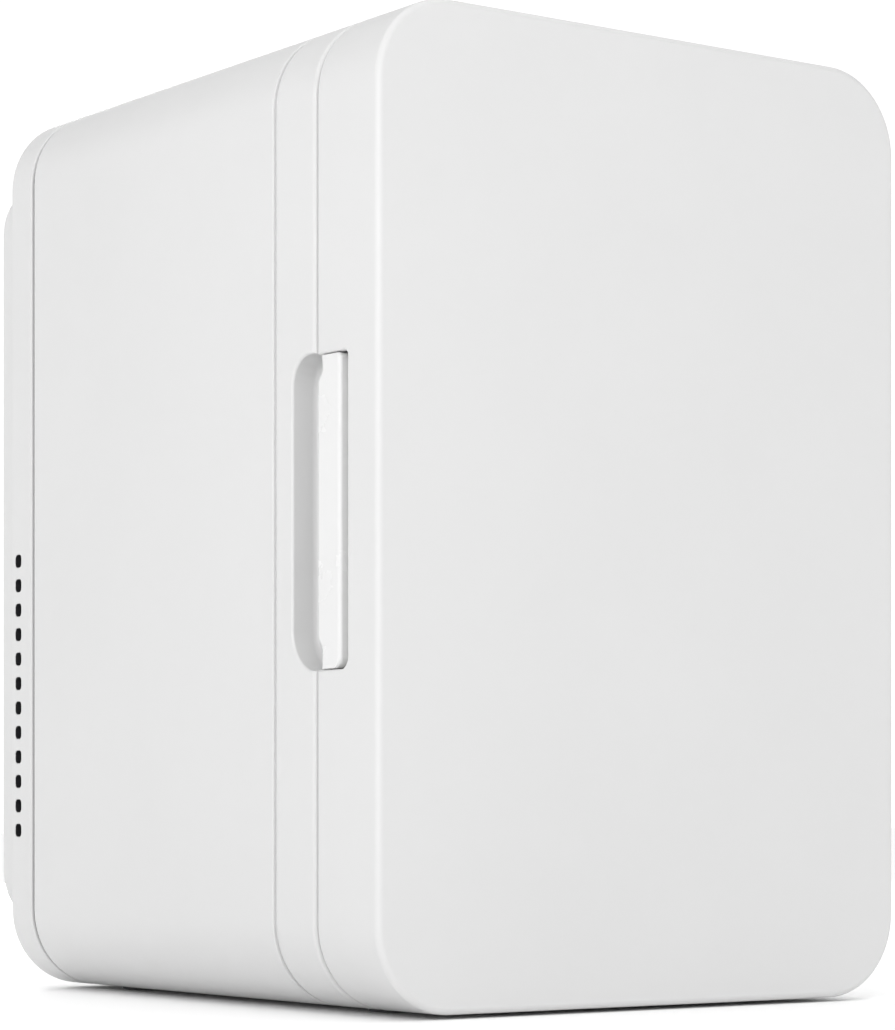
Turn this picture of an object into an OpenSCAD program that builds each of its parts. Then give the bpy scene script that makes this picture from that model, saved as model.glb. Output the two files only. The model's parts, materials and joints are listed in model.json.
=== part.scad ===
// Mini fridge: a small thermoelectric cooler and warmer with one door.
// Millimetres. -Y is the front, +X the hinge side and +Z up. The origin is on
// the floor, under the middle of the fridge.

/* [Casing] */
// Width of the cabinet and the door
body_w = 231; // [228:1:236]
// Height of the cabinet without its feet
body_h = 338.5; // [336:0.5:342]
// Radius of the four long rounded edges
corner_r = 30; // [29:0.5:31]
// Thickness of the moulded walls
wall = 2.5; // [2.2:0.1:2.6]
// Height that the rubber feet stand proud
foot_h = 1.5; // [1:0.5:3]

/* [Depths, from the front to the back] */
// Thickness of the door
door_d = 36; // [35:0.5:38]
// Gap between the door and the front frame
door_gap = 1.4; // [1.4:0.1:2]
// Depth of the front frame
frame_d = 24.5; // [24:0.5:26]
// Depth of the body shell
shell_d = 172.9; // [172:0.1:176]
// Depth of the rear cover
cover_d = 16.7; // [16:0.1:18]
// Depth of the raised rear panel
panel_d = 16.5; // [16:0.1:18]

/* [Cold space] */
// Width of the cold space
cavity_w = 178; // [174:1:178]
// Height of the cold space
cavity_h = 284; // [280:1:284]
// Height of the shelf above the floor
shelf_z = 172; // [170:1:190]

/* [Door hinge] */
// Distance from the hinge axis to the door's side face
hinge_side = 7; // [7:0.1:7.2]
// Distance from the hinge axis to the door's back face
hinge_depth = 17.5; // [17:0.5:18]
// Distance from the cabinet's top and bottom to each hinge ear
hinge_inset = 42; // [40:1:50]
// Radius of the hinge pins
pin_r = 2; // [1.5:0.25:2]

/* [Finger scoop and grip] */
// Length of the finger scoop
scoop_l = 107; // [90:1:110]
// Height of the scoop's middle above the floor
scoop_z = 170.2; // [165:0.1:175]
// Length of the scoop along the frame's depth
scoop_d = 13.9; // [12:0.1:15]
// Depth of the scoop into the frame
scoop_in = 11; // [10:0.5:11]

/* [Cooling unit] */
// Height of the cooling unit's middle above the floor
unit_z = 113.9; // [110:0.1:116]
// Side length of the square exhaust fan
hot_fan = 80; // [80:1:80]
// Side length of the square inner fan
cold_fan = 50; // [50:1:50]
// Number of vents in a column on each side
vent_count = 12; // [6:1:12]

/* [Carry handle] */
// Width over the handle's arms
handle_w = 124; // [110:1:124]
// Distance from the pivot to the middle of the grip bar
handle_reach = 34; // [30:1:34]

/* [Hidden] */

$fn = 64;
past = 1;           // how far a cutter runs past the face it opens
gap = 0.3;          // clearance round loose inner pieces
slip = 0.05;        // radial clearance of a turning pin
fine = 0.2;         // clearance of a fixed fit

white = [0.93, 0.93, 0.93];
bright = [0.98, 0.98, 0.98];
grey = [0.55, 0.56, 0.58];
dark = [0.1, 0.1, 0.11];
steel = [0.72, 0.73, 0.75];

// Stations along Y
depth = door_d + door_gap + frame_d + shell_d + cover_d + panel_d;
front_y = -depth / 2;
door_back_y = front_y + door_d;
frame_y = door_back_y + door_gap;
shell_y = frame_y + frame_d;
cover_y = shell_y + shell_d;
panel_y = cover_y + cover_d;
back_y = panel_y + panel_d;

// Stations along X and Z
side_x = body_w / 2;
base_z = foot_h;
top_z = base_z + body_h;
mid_z = base_z + body_h / 2;
cavity_x = cavity_w / 2;
cavity_r = 5;
groove_w = 1.35;    // width of the seam groove within the body shell's end
groove_end = 0.75;  // width of the rest of it, in the neighbour's end
groove_in = 1.2;    // depth of that groove
lip_t = 1.5;        // thickness of the lip that centres one casing in the next
lip_l = 4;          // length of that lip
front_edge_r = 2.3; // rounding of the door's front edge
back_edge = 1.2;    // chamfer of the door's back edge

// Liner, cooling unit and rear chamber
liner_t = 2;
shelf_t = 3;
ledge_w = 3;
ledge_h = 4;
liner_back_y = back_y - 62;
foam_back_y = liner_back_y + 16;
foam_inset = wall + lip_t + 2 * gap;
block_w = 40;
hot_base_y = foam_back_y + 4;
sink_base = 4;
sink_w = 100;
cold_sink_w = 80;
hot_fan_t = 15;
cold_fan_t = 10;
clamp_x = 32;
panel_in_x = 4.6;
panel_in_z = 21;
panel_r = 23;
panel_post_in = 7.5;
cover_mouth_in = 11.4;
louvre_z0 = 288;
louvre_z1 = 308;
post_inset = 12.5;
post_r = 3;
cover_post_z = 110;
hot_fan_y = back_y - wall - gap - hot_fan_t;
cold_fan_y = liner_back_y - 27;
fan_cover_y = cold_fan_y - 3.5;
fan_cover_w = 94;
grille_pitch = 5.2;
grille_slot = 2.6;
vent_pitch = 9.5;
vent_size = 5;
vent_y = panel_y - 5.2;
vent_z0 = unit_z - vent_pitch * (vent_count - 1) / 2;

// Connector bay in the rear panel
bay_x = 66;
bay_z0 = 30;
bay_z1 = 64;
bay_in = 4;
bay_z = (bay_z0 + bay_z1) / 2;
bay_y = back_y - bay_in;
ac_x = -42;
dc_x = -4;
switch_x = 34;
led_x = 56;
rocker_y = bay_y - 5.2;
rocker_l = 10.4;

// Circuit board
board_w = 120;
board_z0 = 200;
board_h = 84;
board_y = back_y - 26;
board_t = 1.6;
board_post_x = 52;
board_post_z = 34;

// Hinge
hinge_x = side_x - hinge_side;
hinge_y = door_back_y - hinge_depth;
hinge_z_low = base_z + hinge_inset;
hinge_z_high = top_z - hinge_inset;
ear_t = 3;
ear_r = 4.3;
ear_plate_x = hinge_x - 11.5;
ear_plate_z = 13;
slot_half = ear_t / 2 + 0.5;

// Door
door_in = wall + fine;
tub_x = 82;
tub_z0 = 28;
tub_z1 = 313;
tub_floor_y = front_y + 19;
tub_r = 12;
liner_plate = 2.5;
gasket_out = 13.5;
gasket_w = 5;
gasket_groove = 1;
rack_x = 76;
rack_back_y = front_y + 72;
rack_h = 46;
rack_t = 2;
rack_low_z = 40;
rack_high_z = 178;
door_post_x = 92;
door_post_z = 95;
magnet_z = 84;
grip_z0 = scoop_z - scoop_l / 2 + 0.2;
grip_z1 = scoop_z + scoop_l / 2 - 0.8;
grip_y = front_y + 17.9;
grip_plate = 5;
grip_channel = 6;
grip_rib = 1.8;
grip_in = grip_plate + grip_channel + grip_rib;

// Carry handle
tray_y = (shell_y + cover_y) / 2;
tray_x = 72;
tray_half = 27;
tray_deep = 13;
tray_t = 2;
tray_r = 4;
handle_t = 9;
handle_arm = 12;
handle_bar = 14;
pivot_y = tray_y + 17;
pivot_z = top_z - 0.4 - handle_t / 2;

// Feet
foot_r = 9;
foot_x = 74;
foot_front_y = (frame_y + shell_y) / 2;
foot_rear_y = cover_y - 16;

// ---- Shared shapes ----

// A block between two opposite corners
module block(low, high) {
    translate(low) cube(high - low);
}

module rounded_rect(w, h, r) {
    square([w - 2 * r, h], center = true);
    square([w, h - 2 * r], center = true);
    for (x = [-1, 1], z = [-1, 1])
        translate([x * (w / 2 - r), z * (h / 2 - r)])
            circle(r = r);
}

// The cabinet's outline seen from the front, moved inwards
module outline(inset) {
    translate([0, mid_z])
        rounded_rect(body_w - 2 * inset, body_h - 2 * inset, corner_r - inset);
}

// The rear panel's outline, lower than the cabinet's, moved inwards
module panel_outline(inset) {
    translate([0, mid_z])
        rounded_rect(
            body_w - 2 * panel_in_x - 2 * inset, body_h - 2 * panel_in_z - 2 * inset,
            panel_r - inset
        );
}

// The cold space's outline seen from the front, moved outwards
module cavity_outline(out) {
    translate([0, mid_z])
        rounded_rect(cavity_w + 2 * out, cavity_h + 2 * out, cavity_r + out);
}

// Extrudes a front-view outline from y0 back to y1
module along_y(y0, y1) {
    translate([0, y1, 0])
        rotate([90, 0, 0])
            linear_extrude(height = y1 - y0)
                children();
}

module rod_y(x, z, y0, y1, r) {
    translate([x, y0, z])
        rotate([-90, 0, 0])
            cylinder(h = y1 - y0, r = r);
}

module rod_x(y, z, x0, x1, r) {
    translate([x0, y, z])
        rotate([0, 90, 0])
            cylinder(h = x1 - x0, r = r);
}

module rod_z(x, y, z0, z1, r) {
    translate([x, y, z0])
        cylinder(h = z1 - z0, r = r);
}

// Cross-head screw: the head's top is at z = 0 and the shank runs down
module screw(shank_r, length, head_r, head_h) {
    difference() {
        union() {
            translate([0, 0, -head_h])
                cylinder(h = head_h, r = head_r);
            translate([0, 0, -length])
                cylinder(h = length - head_h + 0.1, r = shank_r);
        }
        for (turn = [0, 90])
            rotate(turn)
                translate([-head_r * 0.6, -head_r * 0.12, -head_h * 0.6])
                    cube([head_r * 1.2, head_r * 0.24, head_h]);
    }
}

module facing_back(x, y, z) {
    translate([x, y, z])
        rotate([-90, 0, 0])
            children();
}

module facing_front(x, y, z) {
    translate([x, y, z])
        rotate([90, 0, 0])
            children();
}

// Rows of slots that fill a circle, as a front-view outline
module round_grille(r) {
    rows = floor((r - 1) / grille_pitch);
    for (i = [-rows : rows]) {
        half = sqrt(r * r - pow(i * grille_pitch, 2)) - 1.5;
        for (s = [-1, 1])
            translate([s > 0 ? 1.4 : -half, i * grille_pitch - grille_slot / 2])
                square([half - 1.4, grille_slot]);
    }
}

// ---- Casing ----

// One casing ring from y0 to y1, with a shallow groove at each grooved end
module casing_ring(y0, y1, front_groove, back_groove) {
    difference() {
        union() {
            along_y(y0 + front_groove, y1 - back_groove) outline(0);
            along_y(y0, y1) outline(groove_in);
        }
        along_y(y0 - past, y1 + past) outline(wall);
    }
}

// The places of the screws that hold the rear cover
module at_cover_posts() {
    for (x = [-1, 1], z = [-1, 1])
        translate([x * (side_x - post_inset), 0, mid_z + z * cover_post_z])
            children();
}

// The places of the screws that hold the rear panel, on the corner diagonals
module at_panel_posts() {
    centre_in = panel_r - (panel_r - panel_post_in) / sqrt(2);
    for (x = [-1, 1], z = [-1, 1])
        translate([
            x * (side_x - panel_in_x - centre_in), 0,
            mid_z + z * (body_h / 2 - panel_in_z - centre_in)
        ])
            children();
}

module body_shell() {
    color(white)
    difference() {
        union() {
            casing_ring(shell_y, cover_y, groove_w, groove_w);
            for (x = [-1, 1], z = [-1, 1]) {
                post_x = x * (side_x - post_inset);
                post_z = mid_z + z * cover_post_z;
                rod_y(post_x, post_z, cover_y - 26, cover_y, post_r + 1);
                block(
                    [min(post_x, x * (side_x - 1)), cover_y - 26, post_z - 1.5],
                    [max(post_x, x * (side_x - 1)), cover_y, post_z + 1.5]
                );
            }
        }
        at_cover_posts() rod_y(0, 0, cover_y - 22, cover_y + past, 1.5);
        translate([0, tray_y, top_z - 2 * wall])
            linear_extrude(height = 3 * wall)
                rounded_rect(2 * tray_x, 2 * tray_half, tray_r);
        for (x = [-1, 1])
            rod_z(x * foot_x, foot_rear_y, base_z - past, base_z + wall + past, 2.5);
    }
}

// The finger scoop as a front-open recess in the frame's side
module scoop_cut(grow) {
    block(
        [-side_x - past, frame_y - past, scoop_z - scoop_l / 2 - grow],
        [-side_x + scoop_in + grow, frame_y + scoop_d - 10 + grow, scoop_z + scoop_l / 2 + grow]
    );
    block(
        [-side_x - past, frame_y - past, scoop_z - scoop_l / 2 + 10],
        [-side_x + scoop_in + grow, frame_y + scoop_d + grow, scoop_z + scoop_l / 2 - 10]
    );
    for (z = [-1, 1])
        rod_x(
            frame_y + scoop_d - 10, scoop_z + z * (scoop_l / 2 - 10),
            -side_x - past, -side_x + scoop_in + grow, 10 + grow
        );
}

module front_frame() {
    color(white)
    difference() {
        union() {
            casing_ring(frame_y, shell_y, 0, groove_end);
            along_y(shell_y - 2, shell_y + lip_l)
                difference() {
                    outline(wall + fine / 2);
                    outline(wall + lip_t);
                }
            along_y(shell_y - 2.5, shell_y - 1)
                difference() {
                    outline(wall - 0.2);
                    outline(wall + lip_t);
                }
            along_y(frame_y, frame_y + wall)
                difference() {
                    outline(groove_in);
                    cavity_outline(liner_t + fine);
                }
            block(
                [-side_x + wall / 2, frame_y, scoop_z - scoop_l / 2 - 2],
                [-side_x + scoop_in + 2, frame_y + scoop_d + 2, scoop_z + scoop_l / 2 + 2]
            );
        }
        scoop_cut(0);
        for (z = [hinge_z_low, hinge_z_high]) {
            block(
                [hinge_x - ear_r - fine, frame_y - past, z - ear_t / 2 - fine],
                [hinge_x + ear_r + fine, frame_y + wall + past, z + ear_t / 2 + fine]
            );
            for (s = [-8, 8]) {
                rod_y(hinge_x, z + s, frame_y - past, frame_y + wall + past, 1.7);
                rod_y(hinge_x, z + s, frame_y - past, frame_y + 1.6, 3.2);
            }
        }
        for (x = [-1, 1])
            rod_z(x * foot_x, foot_front_y, base_z - past, base_z + wall + past, 2.5);
    }
}

// Column of vents, cut through one side wall of the rear cover
module side_vents(side) {
    for (i = [0 : vent_count - 1])
        translate([side * (side_x - wall / 2), vent_y, vent_z0 + i * vent_pitch])
            rotate([0, 90, 0])
                linear_extrude(height = 2 * wall, center = true)
                    rounded_rect(vent_size, vent_size, 1.6);
}

module rear_cover() {
    color(white)
    difference() {
        union() {
            casing_ring(cover_y, panel_y, groove_end, 0);
            along_y(panel_y - wall, panel_y)
                difference() {
                    outline(groove_in);
                    panel_outline(cover_mouth_in);
                }
            at_cover_posts() rod_y(0, 0, cover_y, panel_y - 1, post_r + 0.5);
            at_panel_posts() rod_y(0, 0, panel_y - 1, back_y - wall, post_r);
        }
        at_cover_posts() {
            rod_y(0, 0, cover_y - past, panel_y + past, 1.7);
            rod_y(0, 0, panel_y - 1.7, panel_y + past, 3.1);
        }
        at_panel_posts() rod_y(0, 0, panel_y + 2, back_y, 1.5);
        side_vents(1);
        side_vents(-1);
    }
}

// The recessed bay that holds the sockets and the switch
module bay_block(grow, y0, y1) {
    block([-bay_x - grow, y0, bay_z0 - grow], [bay_x + grow, y1, bay_z1 + grow]);
}

module rear_panel() {
    color(white)
    difference() {
        union() {
            difference() {
                along_y(panel_y, back_y) panel_outline(0);
                difference() {
                    along_y(panel_y - past, back_y - wall) panel_outline(wall);
                    bay_block(wall, bay_y - wall, back_y);
                }
            }
            for (x = [-1, 1], z = [-1, 1])
                rod_y(
                    x * board_post_x, board_z0 + board_h / 2 + z * board_post_z,
                    board_y + board_t, back_y - wall + 0.5, post_r
                );
        }
        bay_block(0, bay_y, back_y + past);
        along_y(back_y - wall - past, back_y + past)
            translate([0, unit_z])
                round_grille(hot_fan / 2 - 2);
        for (i = [-7 : 7])
            block(
                [i * 8 - 1.5, back_y - wall - past, louvre_z0],
                [i * 8 + 1.5, back_y + past, louvre_z1]
            );
        at_panel_posts() {
            rod_y(0, 0, back_y - wall - past, back_y + past, 1.7);
            rod_y(0, 0, back_y - 1.6, back_y + past, 3.2);
        }
        fan_corners(hot_fan) {
            rod_y(0, 0, back_y - wall - past, back_y + past, 2.1);
            rod_y(0, 0, back_y - 1.4, back_y + past, 3.6);
        }
        for (x = [-1, 1], z = [-1, 1])
            rod_y(
                x * board_post_x, board_z0 + board_h / 2 + z * board_post_z,
                board_y, board_y + 12, 1.3
            );
        bay_hole(ac_x, 24, 16);
        bay_hole(dc_x, 20, 15);
        bay_hole(switch_x, 13, 18.6);
        rod_y(led_x, bay_z, bay_y - wall - past, bay_y + past, 2.6);
    }
}

module bay_hole(x, w, h) {
    block(
        [x - w / 2, bay_y - wall - past, bay_z - h / 2],
        [x + w / 2, bay_y + past, bay_z + h / 2]
    );
}

module cover_screws() {
    color(steel)
        at_cover_posts() facing_back(0, panel_y - 0.1, 0) screw(1.4, 34, 2.8, 1.5);
}

module panel_screws() {
    color(steel)
        at_panel_posts() facing_back(0, back_y - 0.2, 0) screw(1.4, 11, 2.9, 1.4);
}

// ---- Cold space ----

module inner_liner() {
    color(bright)
    difference() {
        along_y(frame_y, liner_back_y + liner_t) cavity_outline(liner_t);
        along_y(frame_y - past, liner_back_y) cavity_outline(0);
        block(
            [-block_w / 2 - 1, liner_back_y - past, unit_z - block_w / 2 - 1],
            [block_w / 2 + 1, liner_back_y + liner_t + past, unit_z + block_w / 2 + 1]
        );
        for (x = [-1, 1])
            rod_y(x * clamp_x, unit_z, liner_back_y - past, liner_back_y + 4, 2);
    }
}

module body_foam() {
    color([0.96, 0.96, 0.95])
    difference() {
        along_y(frame_y + wall + ear_t + gap, foam_back_y) outline(foam_inset);
        along_y(frame_y, liner_back_y + liner_t + gap) cavity_outline(liner_t + gap);
        block(
            [-side_x, frame_y, scoop_z - scoop_l / 2 - 3],
            [-side_x + scoop_in + 3, frame_y + scoop_d + 3, scoop_z + scoop_l / 2 + 3]
        );
        block(
            [-tray_x - 1, tray_y - tray_half - 1, top_z - tray_deep - 1],
            [tray_x + 1, tray_y + tray_half + 1, top_z]
        );
        block(
            [-block_w / 2 - gap, liner_back_y, unit_z - block_w / 2 - gap],
            [block_w / 2 + gap, foam_back_y + past, unit_z + block_w / 2 + gap]
        );
        for (x = [-1, 1])
            rod_y(x * clamp_x, unit_z, liner_back_y, foam_back_y + past, 2.5);
        for (x = [-1, 1], z = [-1, 1]) {
            post_z = mid_z + z * cover_post_z;
            block(
                [x > 0 ? side_x - post_inset - 5 : -side_x, cover_y - 27, post_z - 5],
                [x > 0 ? side_x : post_inset + 5 - side_x, cover_y, post_z + 5]
            );
        }
    }
}

// Strips bonded to the liner's sides; the shelf rests on them
module shelf_ledges() {
    color(bright)
        for (x = [-cavity_x, cavity_x - ledge_w])
            block(
                [x, frame_y + 45, shelf_z - ledge_h],
                [x + ledge_w, liner_back_y - 6, shelf_z]
            );
}

module shelf() {
    color([0.85, 0.9, 0.93])
    difference() {
        block(
            [-cavity_x + 0.5, frame_y + 45, shelf_z],
            [cavity_x - 0.5, liner_back_y - 1.5, shelf_z + shelf_t]
        );
        for (i = [-9 : 9])
            block(
                [i * 8.6 - 1.6, frame_y + 55, shelf_z - past],
                [i * 8.6 + 1.6, liner_back_y - 10, shelf_z + shelf_t + past]
            );
    }
}

// ---- Cooling unit ----

// Finned heat sink: the base lies from y0 to y0 + sink_base along the fins' side
module finned_sink(w, base_y0, base_y1, fin_y0, fin_y1, fins, fin_t) {
    block([-w / 2, base_y0, unit_z - w / 2], [w / 2, base_y1, unit_z + w / 2]);
    for (i = [0 : fins - 1]) {
        x = -w / 2 + (w - fin_t) * i / (fins - 1);
        block([x, fin_y0, unit_z - w / 2], [x + fin_t, fin_y1, unit_z + w / 2]);
    }
}

module cold_heatsink() {
    color(steel)
    difference() {
        finned_sink(
            cold_sink_w, liner_back_y - sink_base, liner_back_y,
            liner_back_y - 16, liner_back_y - 1, 15, 1.4
        );
        for (x = [-1, 1]) {
            rod_y(x * clamp_x, unit_z, liner_back_y - 20, liner_back_y + past, 1.7);
            rod_y(x * clamp_x, unit_z, liner_back_y - 20, liner_back_y - sink_base, 3.6);
        }
    }
}

module cold_block() {
    color(steel)
        block(
            [-block_w / 2, liner_back_y, unit_z - block_w / 2],
            [block_w / 2, foam_back_y + 0.2, unit_z + block_w / 2]
        );
}

module peltier_module() {
    color([0.95, 0.95, 0.92]) {
        block([-20, foam_back_y + 0.2, unit_z - 20], [20, foam_back_y + 1, unit_z + 20]);
        for (i = [-4 : 4], k = [-4 : 4])
            block(
                [i * 4.2 - 1.2, foam_back_y + 1, unit_z + k * 4.2 - 1.2],
                [i * 4.2 + 1.2, hot_base_y - 0.8, unit_z + k * 4.2 + 1.2]
            );
        block([-20, hot_base_y - 0.8, unit_z - 20], [20, hot_base_y, unit_z + 20]);
    }
}

module module_seal() {
    color(dark)
    difference() {
        block([-28, foam_back_y + 0.2, unit_z - 28], [28, hot_base_y - 0.1, unit_z + 28]);
        block([-20.5, foam_back_y, unit_z - 20.5], [20.5, hot_base_y, unit_z + 20.5]);
        // channel for the module's two leads
        block([20, foam_back_y + 1.4, unit_z + 11], [29, foam_back_y + 3, unit_z + 17]);
    }
}

module hot_heatsink() {
    color(steel)
    difference() {
        finned_sink(
            sink_w, hot_base_y, hot_base_y + sink_base,
            hot_base_y + sink_base - 1, hot_fan_y - 0.6, 20, 1.4
        );
        for (x = [-1, 1]) {
            rod_y(x * clamp_x, unit_z, hot_base_y - past, hot_fan_y, 1.7);
            rod_y(x * clamp_x, unit_z, hot_base_y + sink_base, hot_fan_y, 4);
        }
    }
}

module heatsink_screws() {
    color(steel)
        for (x = [-1, 1])
            facing_back(x * clamp_x, hot_base_y + sink_base + 2, unit_z)
                screw(1.5, hot_base_y - liner_back_y + 2 * sink_base + 1, 3.2, 2);
}

// The four screw places of a square fan
module fan_corners(size) {
    pitch = size == hot_fan ? 71.5 : 40;
    for (x = [-1, 1], z = [-1, 1])
        translate([x * pitch / 2, 0, unit_z + z * pitch / 2])
            children();
}

module fan_frame(size, thick, hub_r, y0) {
    bore_r = size / 2 - 2;
    difference() {
        union() {
            difference() {
                along_y(y0, y0 + thick)
                    translate([0, unit_z])
                        rounded_rect(size, size, size / 20);
                rod_y(0, unit_z, y0 - past, y0 + thick + past, bore_r);
            }
            intersection() {
                rod_y(0, unit_z, y0, y0 + 2, bore_r + 0.5);
                union() {
                    rod_y(0, unit_z, y0, y0 + 2, hub_r);
                    for (turn = [45, 135])
                        translate([0, y0 + 1, unit_z])
                            rotate([0, turn, 0])
                                cube([size * 1.1, 2, 3], center = true);
                }
            }
            rod_y(0, unit_z, y0, y0 + thick * 0.6, 3.2);
        }
        rod_y(0, unit_z, y0 + 0.8, y0 + thick, 1.5 + slip);
        fan_corners(size) rod_y(0, 0, y0 - past, y0 + thick + past, size == hot_fan ? 2.1 : 1.7);
    }
}

module fan_rotor(size, thick, hub_r, blades, y0) {
    blade_r = size / 2 - 3.2;
    low = y0 + 2.6;
    high = y0 + thick - 0.6;
    difference() {
        rod_y(0, unit_z, low, high, hub_r);
        rod_y(0, unit_z, low - past, high - 1.5, hub_r - 1.5);
    }
    rod_y(0, unit_z, y0 + 1.2, high - 1, 1.5);
    intersection() {
        difference() {
            rod_y(0, unit_z, low + 0.2, high - 0.2, blade_r);
            rod_y(0, unit_z, low - past, high + past, hub_r - 0.4);
        }
        translate([0, (low + high) / 2, unit_z])
            for (i = [0 : blades - 1])
                rotate([0, i * 360 / blades, 0])
                    translate([blade_r / 2, 0, 0])
                        rotate([40, 0, 0])
                            cube([blade_r, thick * 1.1, 1.1], center = true);
    }
}

module hot_fan_frame() {
    color(dark) fan_frame(hot_fan, hot_fan_t, 16, hot_fan_y);
}

module hot_fan_rotor() {
    color(dark) fan_rotor(hot_fan, hot_fan_t, 16, 7, hot_fan_y);
}

module hot_fan_screws() {
    color(steel)
        fan_corners(hot_fan) facing_back(0, back_y - 0.1, 0) screw(1.9, 17, 3.3, 1.2);
}

module cold_fan_frame() {
    color(dark) fan_frame(cold_fan, cold_fan_t, 11, cold_fan_y);
}

module cold_fan_rotor() {
    color(dark) fan_rotor(cold_fan, cold_fan_t, 11, 7, cold_fan_y);
}

module cold_fan_screws() {
    color(steel)
        fan_corners(cold_fan) facing_front(0, fan_cover_y - 1, 0) screw(1.5, 13, 2.8, 1.4);
}

module cold_fan_cover() {
    half = fan_cover_w / 2;
    color(bright)
    difference() {
        union() {
            difference() {
                along_y(fan_cover_y, liner_back_y)
                    translate([0, unit_z])
                        rounded_rect(fan_cover_w, fan_cover_w, 8);
                along_y(fan_cover_y + 2, liner_back_y + past)
                    translate([0, unit_z])
                        rounded_rect(fan_cover_w - 4, fan_cover_w - 4, 6);
            }
            fan_corners(cold_fan) rod_y(0, 0, fan_cover_y, cold_fan_y, 3.2);
        }
        along_y(fan_cover_y - past, fan_cover_y + 2 + past)
            translate([0, unit_z])
                round_grille(cold_fan / 2 - 2);
        fan_corners(cold_fan) {
            rod_y(0, 0, fan_cover_y - past, cold_fan_y + past, 1.7);
            rod_y(0, 0, fan_cover_y - past, fan_cover_y + 0.6, 3);
        }
        for (i = [-5 : 5])
            block(
                [-half - past, liner_back_y - 14, unit_z + i * 6.5 - 1.5],
                [half + past, liner_back_y - 4, unit_z + i * 6.5 + 1.5]
            );
    }
}

// ---- Electrics ----

module power_board() {
    color([0.1, 0.35, 0.2])
    difference() {
        block(
            [-board_w / 2, board_y, board_z0],
            [board_w / 2, board_y + board_t, board_z0 + board_h]
        );
        for (x = [-1, 1], z = [-1, 1])
            rod_y(
                x * board_post_x, board_z0 + board_h / 2 + z * board_post_z,
                board_y - past, board_y + board_t + past, 1.6
            );
    }
}

module transformer() {
    color([0.85, 0.7, 0.2]) {
        block([-2, board_y - 16, board_z0 + 26], [28, board_y, board_z0 + 30]);
        block([-2, board_y - 16, board_z0 + 50], [28, board_y, board_z0 + 54]);
        block([1, board_y - 14, board_z0 + 30], [25, board_y - 1, board_z0 + 50]);
    }
}

module board_parts() {
    color(dark) {
        for (i = [0 : 2])
            rod_y(-38, board_z0 + 22 + i * 16, board_y - 15, board_y, 6);
        for (i = [0 : 1])
            rod_y(44, board_z0 + 26 + i * 12, board_y - 12, board_y, 4);
        block([-22, board_y - 15, board_z0 + 24], [-18, board_y, board_z0 + 62]);
        block([34, board_y - 10, board_z0 + 52], [50, board_y, board_z0 + 60]);
        block([-14, board_y - 9, board_z0 + 64], [6, board_y, board_z0 + 72]);
        block([-47, board_y - 8, board_z0 + 3], [-25, board_y, board_z0 + 9]);
        block([10, board_y - 8, board_z0 + 3], [40, board_y, board_z0 + 9]);
    }
}

module board_screws() {
    color(steel)
        for (x = [-1, 1], z = [-1, 1])
            facing_front(
                x * board_post_x, board_y - 1.6, board_z0 + board_h / 2 + z * board_post_z
            )
                screw(1.2, 10, 2.8, 1.6);
}

// An eight-sided wire through a list of points, each stretch run on past its ends
module wire(points, r) {
    for (i = [0 : len(points) - 2]) {
        step = points[i + 1] - points[i];
        length = norm(step);
        translate(points[i])
            rotate([0, acos(step[2] / length), atan2(step[1], step[0])])
                translate([0, 0, -r / 2])
                    cylinder(h = length + r, r = r, $fn = 8);
    }
}

module wiring() {
    run_y = foam_back_y + 8;
    board_end_y = board_y - 5;
    board_end_z = board_z0 + 2;
    socket_end_y = bay_y - 18.8;
    color([0.7, 0.15, 0.12])
        for (s = [0, 4]) {
            // mains leads
            wire([
                [ac_x - 4.3 + 2.15 * s, socket_end_y, bay_z],
                [ac_x - 4.3 + 2.15 * s, run_y + 4, bay_z],
                [-72 - s, run_y, 70],
                [-72 - s, run_y, 180 + s],
                [-38 - 1.5 * s, board_end_y, board_z0 - 10 + s],
                [-38 - 1.5 * s, board_end_y, board_end_z]
            ], 1.1);
            // 12 V leads
            wire([
                [dc_x - 3.9 + 1.95 * s, socket_end_y, bay_z],
                [dc_x - 3.9 + 1.95 * s, run_y + 8, bay_z + 4],
                [-62 - s, run_y + 6, 58],
                [-62 - s, run_y + 6, 172 + s],
                [-28 - s, board_end_y, board_z0 - 16 + s],
                [-28 - s, board_end_y, board_end_z]
            ], 0.9);
            // switch leads
            wire([
                [switch_x, bay_y - 23.7, bay_z + 1.25 * s],
                [switch_x - 2 + s, run_y + 2, bay_z + 6],
                [70 + s, run_y, 70],
                [70 + s, run_y, 180 + s],
                [14 + 2 * s, board_end_y, board_z0 - 8 + s],
                [14 + 2 * s, board_end_y, board_end_z]
            ], 0.9);
            // thermoelectric module's leads
            wire([
                [20, foam_back_y + 2.2, unit_z + 12 + s],
                [60 + s, foam_back_y + 2.2, unit_z + 12 + s],
                [60 + s, foam_back_y + 6, board_z0 - 10],
                [30 + s, board_end_y, board_z0 - 4],
                [30 + s, board_end_y, board_end_z]
            ], 0.5);
        }
}

// Socket body with a flange that bears on the inside of the bay
module socket_body(x, w, h, hollow_w, hollow_h, hollow_r) {
    difference() {
        union() {
            block([x - w / 2, bay_y - 18, bay_z - h / 2], [x + w / 2, bay_y, bay_z + h / 2]);
            block(
                [x - w / 2 - 2.5, bay_y - wall - 2, bay_z - h / 2],
                [x + w / 2 + 2.5, bay_y - wall, bay_z + h / 2]
            );
        }
        along_y(bay_y - 12, bay_y + past)
            translate([x, bay_z])
                rounded_rect(hollow_w, hollow_h, hollow_r);
        for (s = [-1, 1])
            rod_y(x + s * (hollow_w / 4 + 0.4), bay_z, bay_y - 18 - past, bay_y - 11, 1.2);
    }
}

// Two contact pins of a socket
module contact_pins(x, hollow_w) {
    for (s = [-1, 1])
        rod_y(x + s * (hollow_w / 4 + 0.4), bay_z, bay_y - 18, bay_y - 3, 1.15);
}

module ac_inlet() {
    color(dark) socket_body(ac_x, 24, 16, 16, 9, 4.4);
}

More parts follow.
